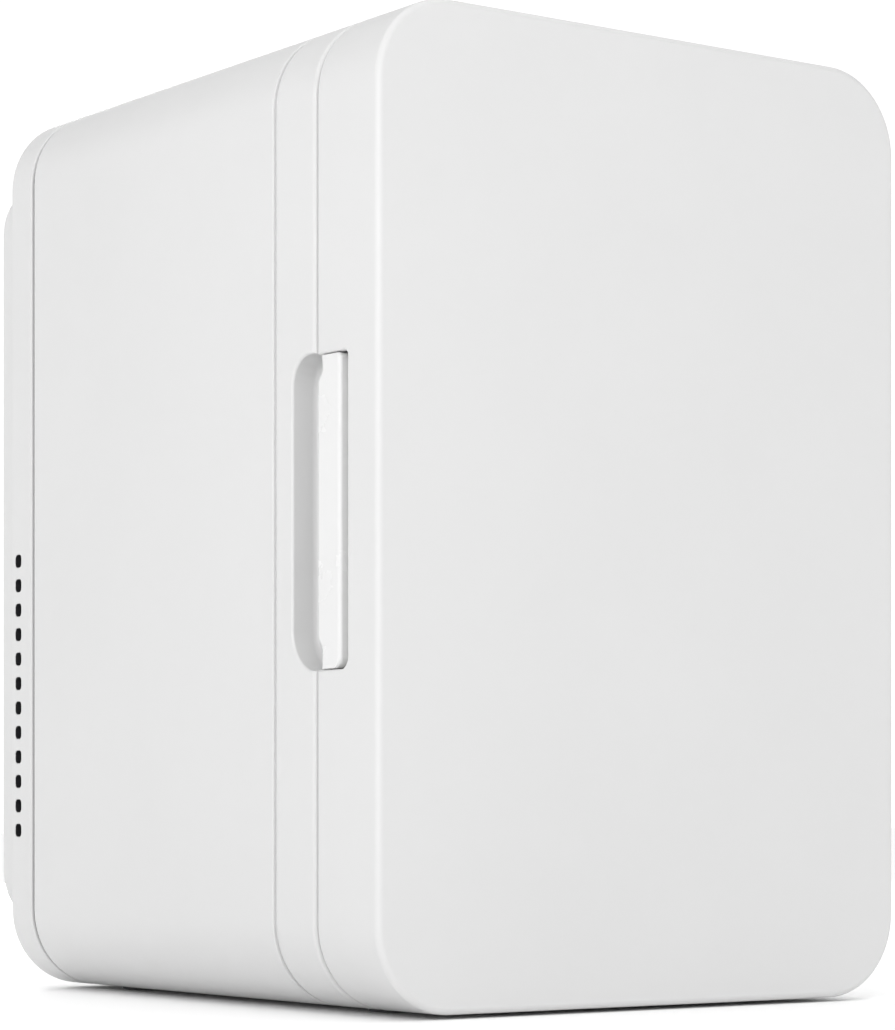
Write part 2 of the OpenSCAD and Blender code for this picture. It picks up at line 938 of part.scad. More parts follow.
module ac_pins() {
    color(steel) contact_pins(ac_x, 16);
}

module dc_inlet() {
    color(dark) socket_body(dc_x, 20, 15, 14, 9, 2);
}

module dc_pins() {
    color([0.8, 0.65, 0.25]) contact_pins(dc_x, 14);
}

module switch_housing() {
    color(dark)
    difference() {
        union() {
            block(
                [switch_x - 6.5, bay_y - 18, bay_z - 9.3],
                [switch_x + 6.5, bay_y, bay_z + 9.3]
            );
            block(
                [switch_x - 7.5, bay_y, bay_z - 10.5],
                [switch_x + 7.5, bay_y + 1.8, bay_z + 10.5]
            );
            for (z = [-5, 0, 5])
                block(
                    [switch_x - 3, bay_y - 23, bay_z + z - 0.4],
                    [switch_x + 3, bay_y - 17, bay_z + z + 0.4]
                );
        }
        block(
            [switch_x - 5.5, rocker_y - 7, bay_z - 8.3],
            [switch_x + 5.5, back_y, bay_z + 8.3]
        );
        rod_x(rocker_y, bay_z, switch_x - 6.2, switch_x + 6.2, 1 + slip);
    }
}

module mode_rocker() {
    color([0.15, 0.15, 0.16]) {
        translate([switch_x - rocker_l / 2, rocker_y, bay_z])
            rotate([90, 0, 90])
                linear_extrude(height = rocker_l)
                    polygon([
                        [-2.4, -4], [4.5, -7], [7.6, -6.2], [6.6, 0], [7.6, 6.2], [4.5, 7], [-2.4, 4]
                    ]);
        rod_x(rocker_y, bay_z, switch_x - 6, switch_x + 6, 1);
    }
}

module status_leds() {
    color([0.3, 0.8, 0.4])
        translate([led_x, bay_y - 5, bay_z])
            rotate([-90, 0, 0]) {
                cylinder(h = 6, r = 2.5);
                translate([0, 0, 6]) intersection() {
                    sphere(r = 2.5);
                    cylinder(h = 3, r = 3);
                }
            }
}

module strike_plates() {
    color(steel)
        for (z = [-1, 1])
            block(
                [-side_x + 4, frame_y + wall, mid_z + z * magnet_z - 14],
                [-side_x + 12, frame_y + wall + 2, mid_z + z * magnet_z + 14]
            );
}

// ---- Feet ----

module foot(x, y) {
    color(grey) {
        rod_z(x, y, 0, base_z, foot_r);
        rod_z(x, y, base_z - 0.1, base_z + wall + 1, 2.4);
    }
}

// ---- Carry handle ----

module handle_tray() {
    color(white)
    difference() {
        union() {
            difference() {
                translate([0, tray_y, top_z - tray_deep])
                    linear_extrude(height = tray_deep)
                        rounded_rect(2 * tray_x, 2 * tray_half, tray_r);
                translate([0, tray_y, top_z - tray_deep + tray_t])
                    linear_extrude(height = tray_deep)
                        rounded_rect(2 * (tray_x - tray_t), 2 * (tray_half - tray_t), tray_r - tray_t);
            }
            for (x = [-1, 1]) {
                block(
                    [
                        x > 0 ? handle_w / 2 + gap : 1 - tray_x,
                        pivot_y - 6, top_z - tray_deep + tray_t - 0.5
                    ],
                    [
                        x > 0 ? tray_x - 1 : -handle_w / 2 - gap,
                        pivot_y + 6, top_z - 1
                    ]
                );
                block(
                    [x * 30 - 6, pivot_y - handle_reach - 4, top_z - tray_deep + tray_t - 0.5],
                    [x * 30 + 6, pivot_y - handle_reach + 4, pivot_z - handle_t / 2 - gap]
                );
            }
        }
        rod_x(pivot_y, pivot_z, -tray_x + tray_t, tray_x - tray_t, pin_r);
    }
}

module handle_pins() {
    color(steel)
        for (x = [-1, 1])
            rod_x(
                pivot_y, pivot_z,
                x > 0 ? handle_w / 2 - handle_arm + 2 : -tray_x + tray_t,
                x > 0 ? tray_x - tray_t : -handle_w / 2 + handle_arm - 2,
                pin_r
            );
}

module carry_handle() {
    bar_y = pivot_y - handle_reach;
    color(bright)
    difference() {
        union() {
            block(
                [-handle_w / 2, bar_y - handle_bar / 2, pivot_z - handle_t / 2],
                [handle_w / 2, bar_y + handle_bar / 2, pivot_z + handle_t / 2]
            );
            for (x = [-1, 1]) {
                arm_x = x > 0 ? handle_w / 2 - handle_arm : -handle_w / 2;
                block(
                    [arm_x, bar_y, pivot_z - handle_t / 2],
                    [arm_x + handle_arm, pivot_y, pivot_z + handle_t / 2]
                );
                rod_x(pivot_y, pivot_z, arm_x, arm_x + handle_arm, handle_t / 2);
            }
        }
        for (x = [-1, 1])
            rod_x(
                pivot_y, pivot_z,
                x > 0 ? handle_w / 2 - handle_arm + 1.5 : -handle_w / 2 - past,
                x > 0 ? handle_w / 2 + past : -handle_w / 2 + handle_arm - 1.5,
                pin_r + slip
            );
    }
}

// ---- Hinge ----

module hinge_bracket(z) {
    color(steel)
    difference() {
        union() {
            block(
                [ear_plate_x, frame_y + wall, z - ear_plate_z],
                [hinge_x + ear_r, frame_y + wall + ear_t, z + ear_plate_z]
            );
            block(
                [hinge_x - ear_r, hinge_y, z - ear_t / 2],
                [hinge_x + ear_r, frame_y + wall + 1, z + ear_t / 2]
            );
            rod_z(hinge_x, hinge_y, z - ear_t / 2, z + ear_t / 2, ear_r);
        }
        rod_z(hinge_x, hinge_y, z - ear_t, z + ear_t, pin_r);
        for (s = [-8, 8])
            rod_y(hinge_x, z + s, frame_y, frame_y + 2 * wall + ear_t, 1.5);
    }
}

module hinge_pin(z) {
    color(steel) rod_z(hinge_x, hinge_y, z - 11, z + 11, pin_r);
}

module hinge_screws() {
    color(steel)
        for (z = [hinge_z_low, hinge_z_high], s = [-8, 8])
            facing_front(hinge_x, frame_y + 0.1, z + s) screw(1.4, 5.4, 3, 1.4);
}

// The slot that a hinge ear sweeps through in the door
module ear_slot(z) {
    block(
        [hinge_x - ear_r - 1.5, hinge_y - 8, z - slot_half],
        [side_x + past, door_back_y + past, z + slot_half]
    );
}

module hinge_block(z) {
    color(grey)
    difference() {
        block(
            [hinge_x - 11.5, front_y + wall + gap, z - 13],
            [side_x - wall - gap, door_back_y - liner_plate - gap, z + 13]
        );
        ear_slot(z);
        rod_z(hinge_x, hinge_y, z - 11.5, z + 11.5, pin_r + slip);
    }
}

// ---- Door ----

// The door's outer form: rounded at the front edge and chamfered at the back
module door_form() {
    hull() {
        for (a = [0, 30, 60]) {
            y = front_y + front_edge_r * (1 - cos(a));
            along_y(y, y + 0.05) outline(front_edge_r * (1 - sin(a)));
        }
        along_y(front_y + front_edge_r, door_back_y - back_edge) outline(0);
        along_y(door_back_y - 0.05, door_back_y) outline(back_edge);
    }
}

// The notch that takes the grip, with its side and its two ends set back
module grip_notch(grow) {
    block(
        [-side_x - past, grip_y - grow, grip_z0 - grow],
        [-side_x + grip_in + grow, door_back_y + past, grip_z1 + grow]
    );
}

module at_door_posts() {
    for (x = [-1, 1], z = [-1, 0, 1])
        translate([x * door_post_x, 0, mid_z + z * door_post_z])
            children();
}

module door_shell() {
    color(white)
    difference() {
        union() {
            difference() {
                door_form();
                along_y(front_y + wall, door_back_y + past) outline(wall);
            }
            at_door_posts() rod_y(0, 0, front_y + wall - 0.5, door_back_y - liner_plate - gap, post_r);
        }
        at_door_posts() rod_y(0, 0, door_back_y - 14, door_back_y, 1.5);
        grip_notch(0);
        ear_slot(hinge_z_low);
        ear_slot(hinge_z_high);
    }
}

module tub_outline(out) {
    translate([0, (tub_z0 + tub_z1) / 2])
        rounded_rect(2 * (tub_x + out), tub_z1 - tub_z0 + 2 * out, tub_r + out);
}

module door_liner() {
    color(bright)
    difference() {
        union() {
            along_y(door_back_y - liner_plate, door_back_y) outline(door_in);
            along_y(tub_floor_y - liner_t, door_back_y - 1) tub_outline(0);
        }
        along_y(tub_floor_y, door_back_y + past) tub_outline(-liner_t);
        along_y(door_back_y - gasket_groove, door_back_y + past)
            difference() {
                outline(gasket_out);
                outline(gasket_out + gasket_w);
            }
        at_door_posts() {
            rod_y(0, 0, door_back_y - liner_plate - past, door_back_y + past, 1.7);
            rod_y(0, 0, door_back_y - 1.5, door_back_y + past, 3);
        }
        grip_notch(fine);
        ear_slot(hinge_z_low);
        ear_slot(hinge_z_high);
    }
}

module door_foam() {
    color([0.96, 0.96, 0.95])
    difference() {
        along_y(front_y + wall + gap, door_back_y - liner_plate - gap) outline(wall + gap);
        along_y(tub_floor_y - liner_t - gap, door_back_y) tub_outline(gap);
        at_door_posts() rod_y(0, 0, front_y, door_back_y, post_r + gap);
        grip_notch(2 * gap);
        for (z = [hinge_z_low, hinge_z_high])
            block(
                [hinge_x - 12, front_y, z - 13 - gap],
                [side_x, door_back_y, z + 13 + gap]
            );
        for (z = [-1, 1])
            block(
                [-side_x, door_back_y - liner_plate - 6, mid_z + z * magnet_z - 13],
                [-side_x + 13, door_back_y, mid_z + z * magnet_z + 13]
            );
    }
}

module door_gasket() {
    color([0.8, 0.8, 0.8])
        along_y(door_back_y - gasket_groove, frame_y - gap)
            difference() {
                outline(gasket_out + 0.1);
                outline(gasket_out + gasket_w - 0.1);
            }
}

module door_grip() {
    outer_x = -side_x;
    end_z = 8;
    y0 = grip_y + fine;
    color(bright)
    difference() {
        block([outer_x, y0, grip_z0 + fine], [outer_x + grip_in, door_back_y, grip_z1 - fine]);
        // finger channel, open to the back
        block(
            [outer_x + grip_plate, y0 + 6, grip_z0 + 3],
            [outer_x + grip_plate + grip_channel, door_back_y + past, grip_z1 - 3]
        );
        // the outer plate's back edge is set back at both ends
        for (z = [grip_z0, grip_z1 - end_z])
            block(
                [outer_x - past, door_back_y - 3, z],
                [outer_x + grip_plate, door_back_y + past, z + end_z]
            );
        // the front edge falls away into a groove
        translate([outer_x, y0, (grip_z0 + grip_z1) / 2])
            rotate([0, 0, 45])
                cube([3.4, 3.4, scoop_l + 2], center = true);
    }
}

module door_rack(z0) {
    y0 = tub_floor_y + gap;
    color([0.9, 0.94, 0.96])
    difference() {
        block([-rack_x, y0, z0], [rack_x, rack_back_y, z0 + rack_h]);
        block(
            [-rack_x + rack_t, y0 - past, z0 + rack_t],
            [rack_x - rack_t, rack_back_y - rack_t, z0 + rack_h + past]
        );
        block(
            [-rack_x - past, y0 - past, z0 + rack_h - 14],
            [rack_x + past, tub_floor_y + 12, z0 + rack_h + past]
        );
    }
}

module door_magnets() {
    color(dark)
        for (z = [-1, 1])
            block(
                [-side_x + 4, door_back_y - liner_plate - 5.5, mid_z + z * magnet_z - 12],
                [-side_x + 12, door_back_y - liner_plate - gap, mid_z + z * magnet_z + 12]
            );
}

module door_screws() {
    color(steel)
        at_door_posts() facing_back(0, door_back_y - 0.1, 0) screw(1.4, 13, 2.8, 1.3);
}

body_shell();
front_frame();
rear_cover();
rear_panel();
inner_liner();
body_foam();
shelf_ledges();
shelf();
cold_heatsink();
cold_block();
peltier_module();
module_seal();
hot_heatsink();
heatsink_screws();
cold_fan_cover();
cold_fan_frame();
cold_fan_rotor();
cold_fan_screws();
hot_fan_frame();
hot_fan_rotor();
hot_fan_screws();
power_board();
transformer();
board_parts();
board_screws();
wiring();
ac_inlet();
ac_pins();
dc_inlet();
dc_pins();
switch_housing();
mode_rocker();
status_leds();
strike_plates();
cover_screws();
panel_screws();
foot(-foot_x, foot_front_y);  // foot_front_left
foot(foot_x, foot_front_y);  // foot_front_right
foot(-foot_x, foot_rear_y);  // foot_rear_left
foot(foot_x, foot_rear_y);  // foot_rear_right
handle_tray();
handle_pins();
carry_handle();
hinge_bracket(hinge_z_high);  // hinge_bracket_upper
hinge_bracket(hinge_z_low);  // hinge_bracket_lower
hinge_pin(hinge_z_high);  // hinge_pin_upper
hinge_pin(hinge_z_low);  // hinge_pin_lower
hinge_screws();
door_shell();
door_liner();
door_foam();
door_gasket();
door_grip();
door_rack(rack_high_z);  // door_rack_upper
door_rack(rack_low_z);  // door_rack_lower
door_magnets();
hinge_block(hinge_z_high);  // hinge_block_upper
hinge_block(hinge_z_low);  // hinge_block_lower
door_screws();
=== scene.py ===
"""Mini fridge: the looks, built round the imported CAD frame. Metres, -Y is the front, +Z up."""

import json
import math

import bmesh
import bpy
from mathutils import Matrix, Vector


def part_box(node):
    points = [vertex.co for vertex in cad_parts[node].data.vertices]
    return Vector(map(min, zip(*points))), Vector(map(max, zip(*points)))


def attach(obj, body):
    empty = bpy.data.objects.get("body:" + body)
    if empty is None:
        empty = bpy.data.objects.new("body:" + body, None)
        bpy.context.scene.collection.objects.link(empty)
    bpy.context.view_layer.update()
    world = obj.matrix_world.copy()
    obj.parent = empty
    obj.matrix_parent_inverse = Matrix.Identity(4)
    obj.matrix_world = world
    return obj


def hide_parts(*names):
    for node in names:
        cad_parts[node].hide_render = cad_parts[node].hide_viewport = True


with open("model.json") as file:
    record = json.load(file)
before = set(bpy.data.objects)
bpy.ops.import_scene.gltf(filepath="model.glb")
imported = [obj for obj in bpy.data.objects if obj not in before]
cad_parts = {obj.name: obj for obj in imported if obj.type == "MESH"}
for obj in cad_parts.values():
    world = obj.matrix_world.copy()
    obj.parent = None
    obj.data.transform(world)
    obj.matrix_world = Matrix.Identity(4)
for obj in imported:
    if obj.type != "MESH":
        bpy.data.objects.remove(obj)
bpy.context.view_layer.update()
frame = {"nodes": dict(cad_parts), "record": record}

MM = 0.001

# ---- Places, from the frame ----

DOOR_LOW, DOOR_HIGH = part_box("door_shell")
SHELL_LOW, SHELL_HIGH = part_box("body_shell")
GRIP_LOW, GRIP_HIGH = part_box("door_grip")
TRAY_LOW, TRAY_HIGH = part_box("handle_tray")

SIDE_X = DOOR_HIGH.x
BASE_Z, TOP_Z = DOOR_LOW.z, DOOR_HIGH.z
MID_Z = (BASE_Z + TOP_Z) / 2
BODY_W = 2 * SIDE_X
BODY_H = TOP_Z - BASE_Z
FRONT_Y, DOOR_BACK_Y = DOOR_LOW.y, DOOR_HIGH.y
FRAME_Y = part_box("front_frame")[0].y
SHELL_Y, COVER_Y = SHELL_LOW.y, SHELL_HIGH.y
BACK_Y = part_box("rear_panel")[1].y
LINER_BACK_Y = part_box("inner_liner")[1].y
PANEL_Y = BACK_Y - 16.5 * MM
CORNER_R = 30 * MM
WALL = 2.5 * MM
LIP_T = 1.5 * MM
LIP_L = 4 * MM
CAVITY_W, CAVITY_H, CAVITY_R = 178 * MM, 284 * MM, 5 * MM


def middle(node):
    """The middle of a CAD node's box."""
    low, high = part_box(node)
    return (low + high) / 2


UNIT_Z = middle("hot_fan_frame").z
HINGE_X = SIDE_X - 7 * MM
HINGE_Y = DOOR_BACK_Y - 17.5 * MM
HINGE_ZS = [middle("hinge_bracket_lower").z, middle("hinge_bracket_upper").z]
VENT_Y = PANEL_Y - 5.2 * MM
VENT_PITCH, VENT_COUNT = 9.5 * MM, 12
BAY_IN = 4 * MM
BAY_Y, BAY_Z = BACK_Y - BAY_IN, middle("ac_inlet").z
SWITCH_X = middle("switch_housing").x
CORNER_STEPS = 16


# ---- Mesh helpers ----

def quarter(steps):
    """The angles of a quarter turn."""
    return [math.radians(90 * i / steps) for i in range(steps + 1)]


def rounded(width, height, radii, steps=CORNER_STEPS):
    """Points of a rounded rectangle about the origin, anticlockwise from its lower right corner."""
    if not isinstance(radii, (tuple, list)):
        radii = (radii,) * 4
    points = []
    for corner, (su, sv) in enumerate(((1, -1), (1, 1), (-1, 1), (-1, -1))):
        r = radii[corner]
        for i in range(steps + 1):
            a = math.radians(90 * (corner - 1) + 90 * i / steps)
            u = su * (width / 2 - r) + r * math.cos(a)
            v = sv * (height / 2 - r) + r * math.sin(a)
            points.append((u, v))
    return points


def front_ring(width, height, radius, y, z=MID_Z, x=0, steps=CORNER_STEPS):
    """A rounded rectangle that faces the front, at one depth."""
    return [Vector((x + u, y, z + v)) for u, v in rounded(width, height, radius, steps)]


def body_ring(inset, y):
    return front_ring(BODY_W - 2 * inset, BODY_H - 2 * inset, max(CORNER_R - inset, 2 * MM), y)


def cavity_ring(out, y):
    return front_ring(CAVITY_W + 2 * out, CAVITY_H + 2 * out, CAVITY_R + out, y)


def side_ring(y0, y1, z0, z1, radii, x, steps=8):
    """A rounded rectangle in a side wall. Radii run: back low, back high, front high, front low."""
    return [
        Vector((x, (y0 + y1) / 2 + u, (z0 + z1) / 2 + v))
        for u, v in rounded(y1 - y0, z1 - z0, radii, steps)
    ]


def top_ring(low, high, out, radius, z):
    """A rounded rectangle that faces up, round the box from low to high."""
    size, centre = high - low, (low + high) / 2
    points = rounded(size.x + 2 * out, size.y + 2 * out, radius + out, 6)
    return [Vector((centre.x + u, centre.y + v, z)) for u, v in points]


def circle_z(x, y, r, z, steps=48):
    angles = [2 * math.pi * i / steps for i in range(steps)]
    return [Vector((x + r * math.cos(a), y + r * math.sin(a), z)) for a in angles]


def fillet(inset, y, r, start, end, steps=6):
    """(inset, y) points of an arc about a centre; 0 points at the outside, 90 at the back."""
    points = []
    for i in range(steps + 1):
        a = math.radians(start + (end - start) * i / steps)
        points.append((inset - r * math.cos(a), y + r * math.sin(a)))
    return points


def mesh_object(name, verts, faces):
    mesh = bpy.data.meshes.new(name)
    mesh.from_pydata([tuple(v) for v in verts], [], faces)
    obj = bpy.data.objects.new(name, mesh)
    bpy.context.scene.collection.objects.link(obj)
    bm = bmesh.new()
    bm.from_mesh(mesh)
    bmesh.ops.recalc_face_normals(bm, faces=bm.faces)
    bm.to_mesh(mesh)
    bm.free()
    return obj


def sweep(name, rings, closed=False):
    """A solid through rings of equal length: capped at both ends, or closed on itself."""
    n = len(rings[0])
    verts = [v for ring in rings for v in ring]
    faces = []
    spans = len(rings) if closed else len(rings) - 1
    for i in range(spans):
        a, b = i * n, ((i + 1) % len(rings)) * n
        for j in range(n):
            k = (j + 1) % n
            faces.append((a + j, b + j, b + k, a + k))
    if not closed:
        faces.append(tuple(range(n)))
        faces.append(tuple(reversed(range(len(verts) - n, len(verts)))))
    return mesh_object(name, verts, faces)


def box_solid(low, high):
    x0, y0, z0 = low
    x1, y1, z1 = high
    verts = [(x, y, z) for x in (x0, x1) for y in (y0, y1) for z in (z0, z1)]
    faces = [(0, 1, 3, 2), (4, 6, 7, 5), (0, 4, 5, 1), (2, 3, 7, 6), (0, 2, 6, 4), (1, 5, 7, 3)]
    return mesh_object("cutter", verts, faces)


def turned_y(x, z, stations, steps=32):
    """A solid of revolution about an axis along Y, from (y, radius) stations."""
    angles = [2 * math.pi * i / steps for i in range(steps)]
    rings = []
    for y, r in stations:
        rings.append([Vector((x + r * math.cos(a), y, z + r * math.sin(a))) for a in angles])
    return sweep("turned", rings)


def stepped_hole(x, z, ys, radii):
    """A cutter for a round hole along Y that changes its radius once, at the second of three ys."""
    y0, y1, y2 = ys
    first, last = radii
    return turned_y(x, z, [(y0, first), (y1, first), (y1, last), (y2, last)])


def recess(ring, depth, rim, floor, steps=5):
    """A cutter that leaves a rounded rim and a rounded floor; ring(out, deep) gives its outline."""
    angles = quarter(steps)
    layers = [(rim, -MM)]
    layers += [(rim * (1 - math.sin(a)), rim * (1 - math.cos(a))) for a in angles]
    layers += [(-floor * (1 - math.cos(a)), depth - floor * (1 - math.sin(a))) for a in angles]
    return sweep("cutter", [ring(out, deep) for out, deep in layers])


def joined(objects):
    """One object that holds the meshes of many."""
    bm = bmesh.new()
    for obj in objects:
        bm.from_mesh(obj.data)
        bpy.data.objects.remove(obj)
    mesh = bpy.data.meshes.new("joined")
    bm.to_mesh(mesh)
    bm.free()
    whole = bpy.data.objects.new("joined", mesh)
    bpy.context.scene.collection.objects.link(whole)
    return whole


def freeze(piece):
    """Turns a piece's modifiers into its mesh."""
    graph = bpy.context.evaluated_depsgraph_get()
    mesh = bpy.data.meshes.new_from_object(piece.evaluated_get(graph))
    piece.modifiers.clear()
    piece.data = mesh


def combine(piece, tools, operation="DIFFERENCE"):
    """Cuts the tools out of a piece, or adds them to it."""
    tool = joined(tools)
    modifier = piece.modifiers.new("combine", "BOOLEAN")
    modifier.object = tool
    modifier.operation = operation
    modifier.solver = "EXACT"
    bpy.context.view_layer.update()
    freeze(piece)
    bpy.data.objects.remove(tool)


def round_edges(piece, width, segments=2, angle=30):
    """Rounds the edges sharper than an angle."""
    bm = bmesh.new()
    bm.from_mesh(piece.data)
    bmesh.ops.remove_doubles(bm, verts=bm.verts, dist=1e-6)
    limit = math.radians(angle)
    edges = [
        e for e in bm.edges
        if len(e.link_faces) == 2 and e.calc_face_angle(0) > limit
    ]
    bmesh.ops.bevel(
        bm, geom=edges, offset=width, offset_type="OFFSET", segments=segments,
        profile=0.5, affect="EDGES", clamp_overlap=True,
    )
    bm.to_mesh(piece.data)
    bm.free()


def smooth(piece, angle=38):
    """Smooth shading that flat faces keep flat."""
    mesh = piece.data
    mesh.shade_smooth()
    mesh.set_sharp_from_angle(angle=math.radians(angle))
    modifier = piece.modifiers.new("weighted", "WEIGHTED_NORMAL")
    modifier.keep_sharp = True
    modifier.weight = 100
    bpy.context.view_layer.update()
    freeze(piece)


def stand_for(piece, node, material, body):
    """Names a piece, gives it its material, and lets it take a CAD node's place."""
    piece.name = node + "_look"
    piece.data.name = piece.name
    piece.data.materials.clear()
    piece.data.materials.append(material)
    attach(piece, body)
    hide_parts(node)


def softened(node, width):
    """A copy of a CAD node whose flat faces are whole and whose edges are rounded."""
    mesh = frame["nodes"][node].data.copy()
    piece = bpy.data.objects.new(node, mesh)
    bpy.context.scene.collection.objects.link(piece)
    bm = bmesh.new()
    bm.from_mesh(mesh)
    bmesh.ops.remove_doubles(bm, verts=bm.verts, dist=2e-6)
    bmesh.ops.dissolve_limit(
        bm, angle_limit=math.radians(0.4), use_dissolve_boundaries=False,
        verts=bm.verts, edges=bm.edges,
    )
    bm.to_mesh(mesh)
    bm.free()
    round_edges(piece, width)
    smooth(piece)
    return piece


# ---- Materials ----

def node_material(name):
    material = bpy.data.materials.new(name)
    material.use_nodes = True
    tree = material.node_tree
    shader = tree.nodes["Principled BSDF"]
    coords = tree.nodes.new("ShaderNodeTexCoord")
    return material, tree, shader, coords.outputs["Object"]


def noise(tree, coords, scale, detail=3.0, stretch=(1, 1, 1)):
    mapping = tree.nodes.new("ShaderNodeMapping")
    mapping.inputs["Scale"].default_value = stretch
    texture = tree.nodes.new("ShaderNodeTexNoise")
    texture.inputs["Scale"].default_value = scale
    texture.inputs["Detail"].default_value = detail
    tree.links.new(coords, mapping.inputs["Vector"])
    tree.links.new(mapping.outputs["Vector"], texture.inputs["Vector"])
    return texture.outputs["Fac"]


def ramp(tree, factor, low, high, start=0.35, end=0.65):
    """A colour or grey that runs from low to high as the factor does."""
    node = tree.nodes.new("ShaderNodeValToRGB")
    node.color_ramp.elements[0].position = start
    node.color_ramp.elements[1].position = end
    for element, value in zip(node.color_ramp.elements, (low, high)):
        colour = value if isinstance(value, (tuple, list)) else (value,) * 3
        element.color = (*colour, 1)
    tree.links.new(factor, node.inputs["Fac"])
    return node.outputs["Color"]


def bump(tree, shader, height, strength, distance):
    node = tree.nodes.new("ShaderNodeBump")
    node.inputs["Strength"].default_value = strength
    node.inputs["Distance"].default_value = distance
    tree.links.new(height, node.inputs["Height"])
    tree.links.new(node.outputs["Normal"], shader.inputs["Normal"])


def moulded(name, colour, rough, grain=1400, depth=0.00002, tint=0.012, specular=0.5):
    """Moulded plastic or rubber: faint cloudiness, uneven gloss and a fine spark-eroded grain."""
    material, tree, shader, coords = node_material(name)
    cloud = noise(tree, coords, 14, 4)
    dark = tuple(max(c * (1 - tint), 0) for c in colour)
    light = tuple(min(c * (1 + tint), 1) for c in colour)
    tree.links.new(ramp(tree, cloud, dark, light), shader.inputs["Base Color"])
    gloss = noise(tree, coords, 55, 5)
    tree.links.new(ramp(tree, gloss, rough * 0.9, rough * 1.1), shader.inputs["Roughness"])
    shader.inputs["Specular IOR Level"].default_value = specular
    bump(tree, shader, noise(tree, coords, grain, 2), 0.35, depth)
    return material


def brushed(name, colour, rough, stretch=(1, 1, 1), scale=900):
    """Metal with drawn or brushed lines along its least stretched axis."""
    material, tree, shader, coords = node_material(name)
    shader.inputs["Metallic"].default_value = 1
    lines = noise(tree, coords, scale, 4, stretch)
    dark = tuple(c * 0.86 for c in colour)
    tree.links.new(ramp(tree, lines, dark, colour), shader.inputs["Base Color"])
    tree.links.new(ramp(tree, lines, rough * 0.8, rough * 1.25), shader.inputs["Roughness"])
    bump(tree, shader, lines, 0.25, 0.00003)
    return material


def clear_plastic(name, tint):
    """Clear moulded plastic with faint flow lines and uneven gloss."""
    material, tree, shader, coords = node_material(name)
    shader.inputs["Transmission Weight"].default_value = 0.85
    shader.inputs["IOR"].default_value = 1.49
    flow = noise(tree, coords, 30, 3, (1, 1, 0.2))
    deeper = tuple(c * 0.97 for c in tint)
    tree.links.new(ramp(tree, flow, deeper, tint), shader.inputs["Base Color"])
    tree.links.new(ramp(tree, flow, 0.06, 0.16), shader.inputs["Roughness"])
    bump(tree, shader, flow, 0.15, 0.0001)
    return material


def bead_foam(name, colour):
    """Expanded foam: pressed beads about 3 mm across with darker seams."""
    material, tree, shader, coords = node_material(name)
    cells = tree.nodes.new("ShaderNodeTexVoronoi")
    cells.feature = "DISTANCE_TO_EDGE"
    cells.inputs["Scale"].default_value = 330
    tree.links.new(coords, cells.inputs["Vector"])
    edge = ramp(tree, cells.outputs["Distance"], tuple(c * 0.8 for c in colour), colour, 0.0, 0.12)
    tree.links.new(edge, shader.inputs["Base Color"])
    tree.links.new(ramp(tree, noise(tree, coords, 90), 0.75, 0.9), shader.inputs["Roughness"])
    bump(tree, shader, cells.outputs["Distance"], 0.5, 0.0003)
    return material


def circuit_board(name):
    """Green solder mask over copper tracks, with a sprinkling of tinned pads."""
    material, tree, shader, coords = node_material(name)
    tracks = tree.nodes.new("ShaderNodeTexBrick")
    tracks.inputs["Scale"].default_value = 150
    tracks.inputs["Mortar Size"].default_value = 0.05
    tracks.inputs["Color1"].default_value = (0.012, 0.13, 0.05, 1)
    tracks.inputs["Color2"].default_value = (0.016, 0.16, 0.06, 1)
    tracks.inputs["Mortar"].default_value = (0.03, 0.24, 0.09, 1)
    mapping = tree.nodes.new("ShaderNodeMapping")
    mapping.inputs["Rotation"].default_value = (math.radians(90), 0, 0)
    tree.links.new(coords, mapping.inputs["Vector"])
    tree.links.new(mapping.outputs["Vector"], tracks.inputs["Vector"])
    tree.links.new(tracks.outputs["Color"], shader.inputs["Base Color"])
    tree.links.new(ramp(tree, noise(tree, coords, 200), 0.22, 0.35), shader.inputs["Roughness"])
    bump(tree, shader, tracks.outputs["Fac"], 0.3, 0.00004)
    return material


def wound_tape(name, colour):
    """Taped winding with overlapping turns."""
    material, tree, shader, coords = node_material(name)
    bands = tree.nodes.new("ShaderNodeTexWave")
    bands.bands_direction = "Z"
    bands.inputs["Scale"].default_value = 120
    bands.inputs["Distortion"].default_value = 0.6
    tree.links.new(coords, bands.inputs["Vector"])
    shade = ramp(tree, bands.outputs["Fac"], tuple(c * 0.75 for c in colour), colour, 0.1, 0.7)
    tree.links.new(shade, shader.inputs["Base Color"])
    tree.links.new(ramp(tree, bands.outputs["Fac"], 0.3, 0.45), shader.inputs["Roughness"])
    bump(tree, shader, bands.outputs["Fac"], 0.3, 0.0001)
    return material


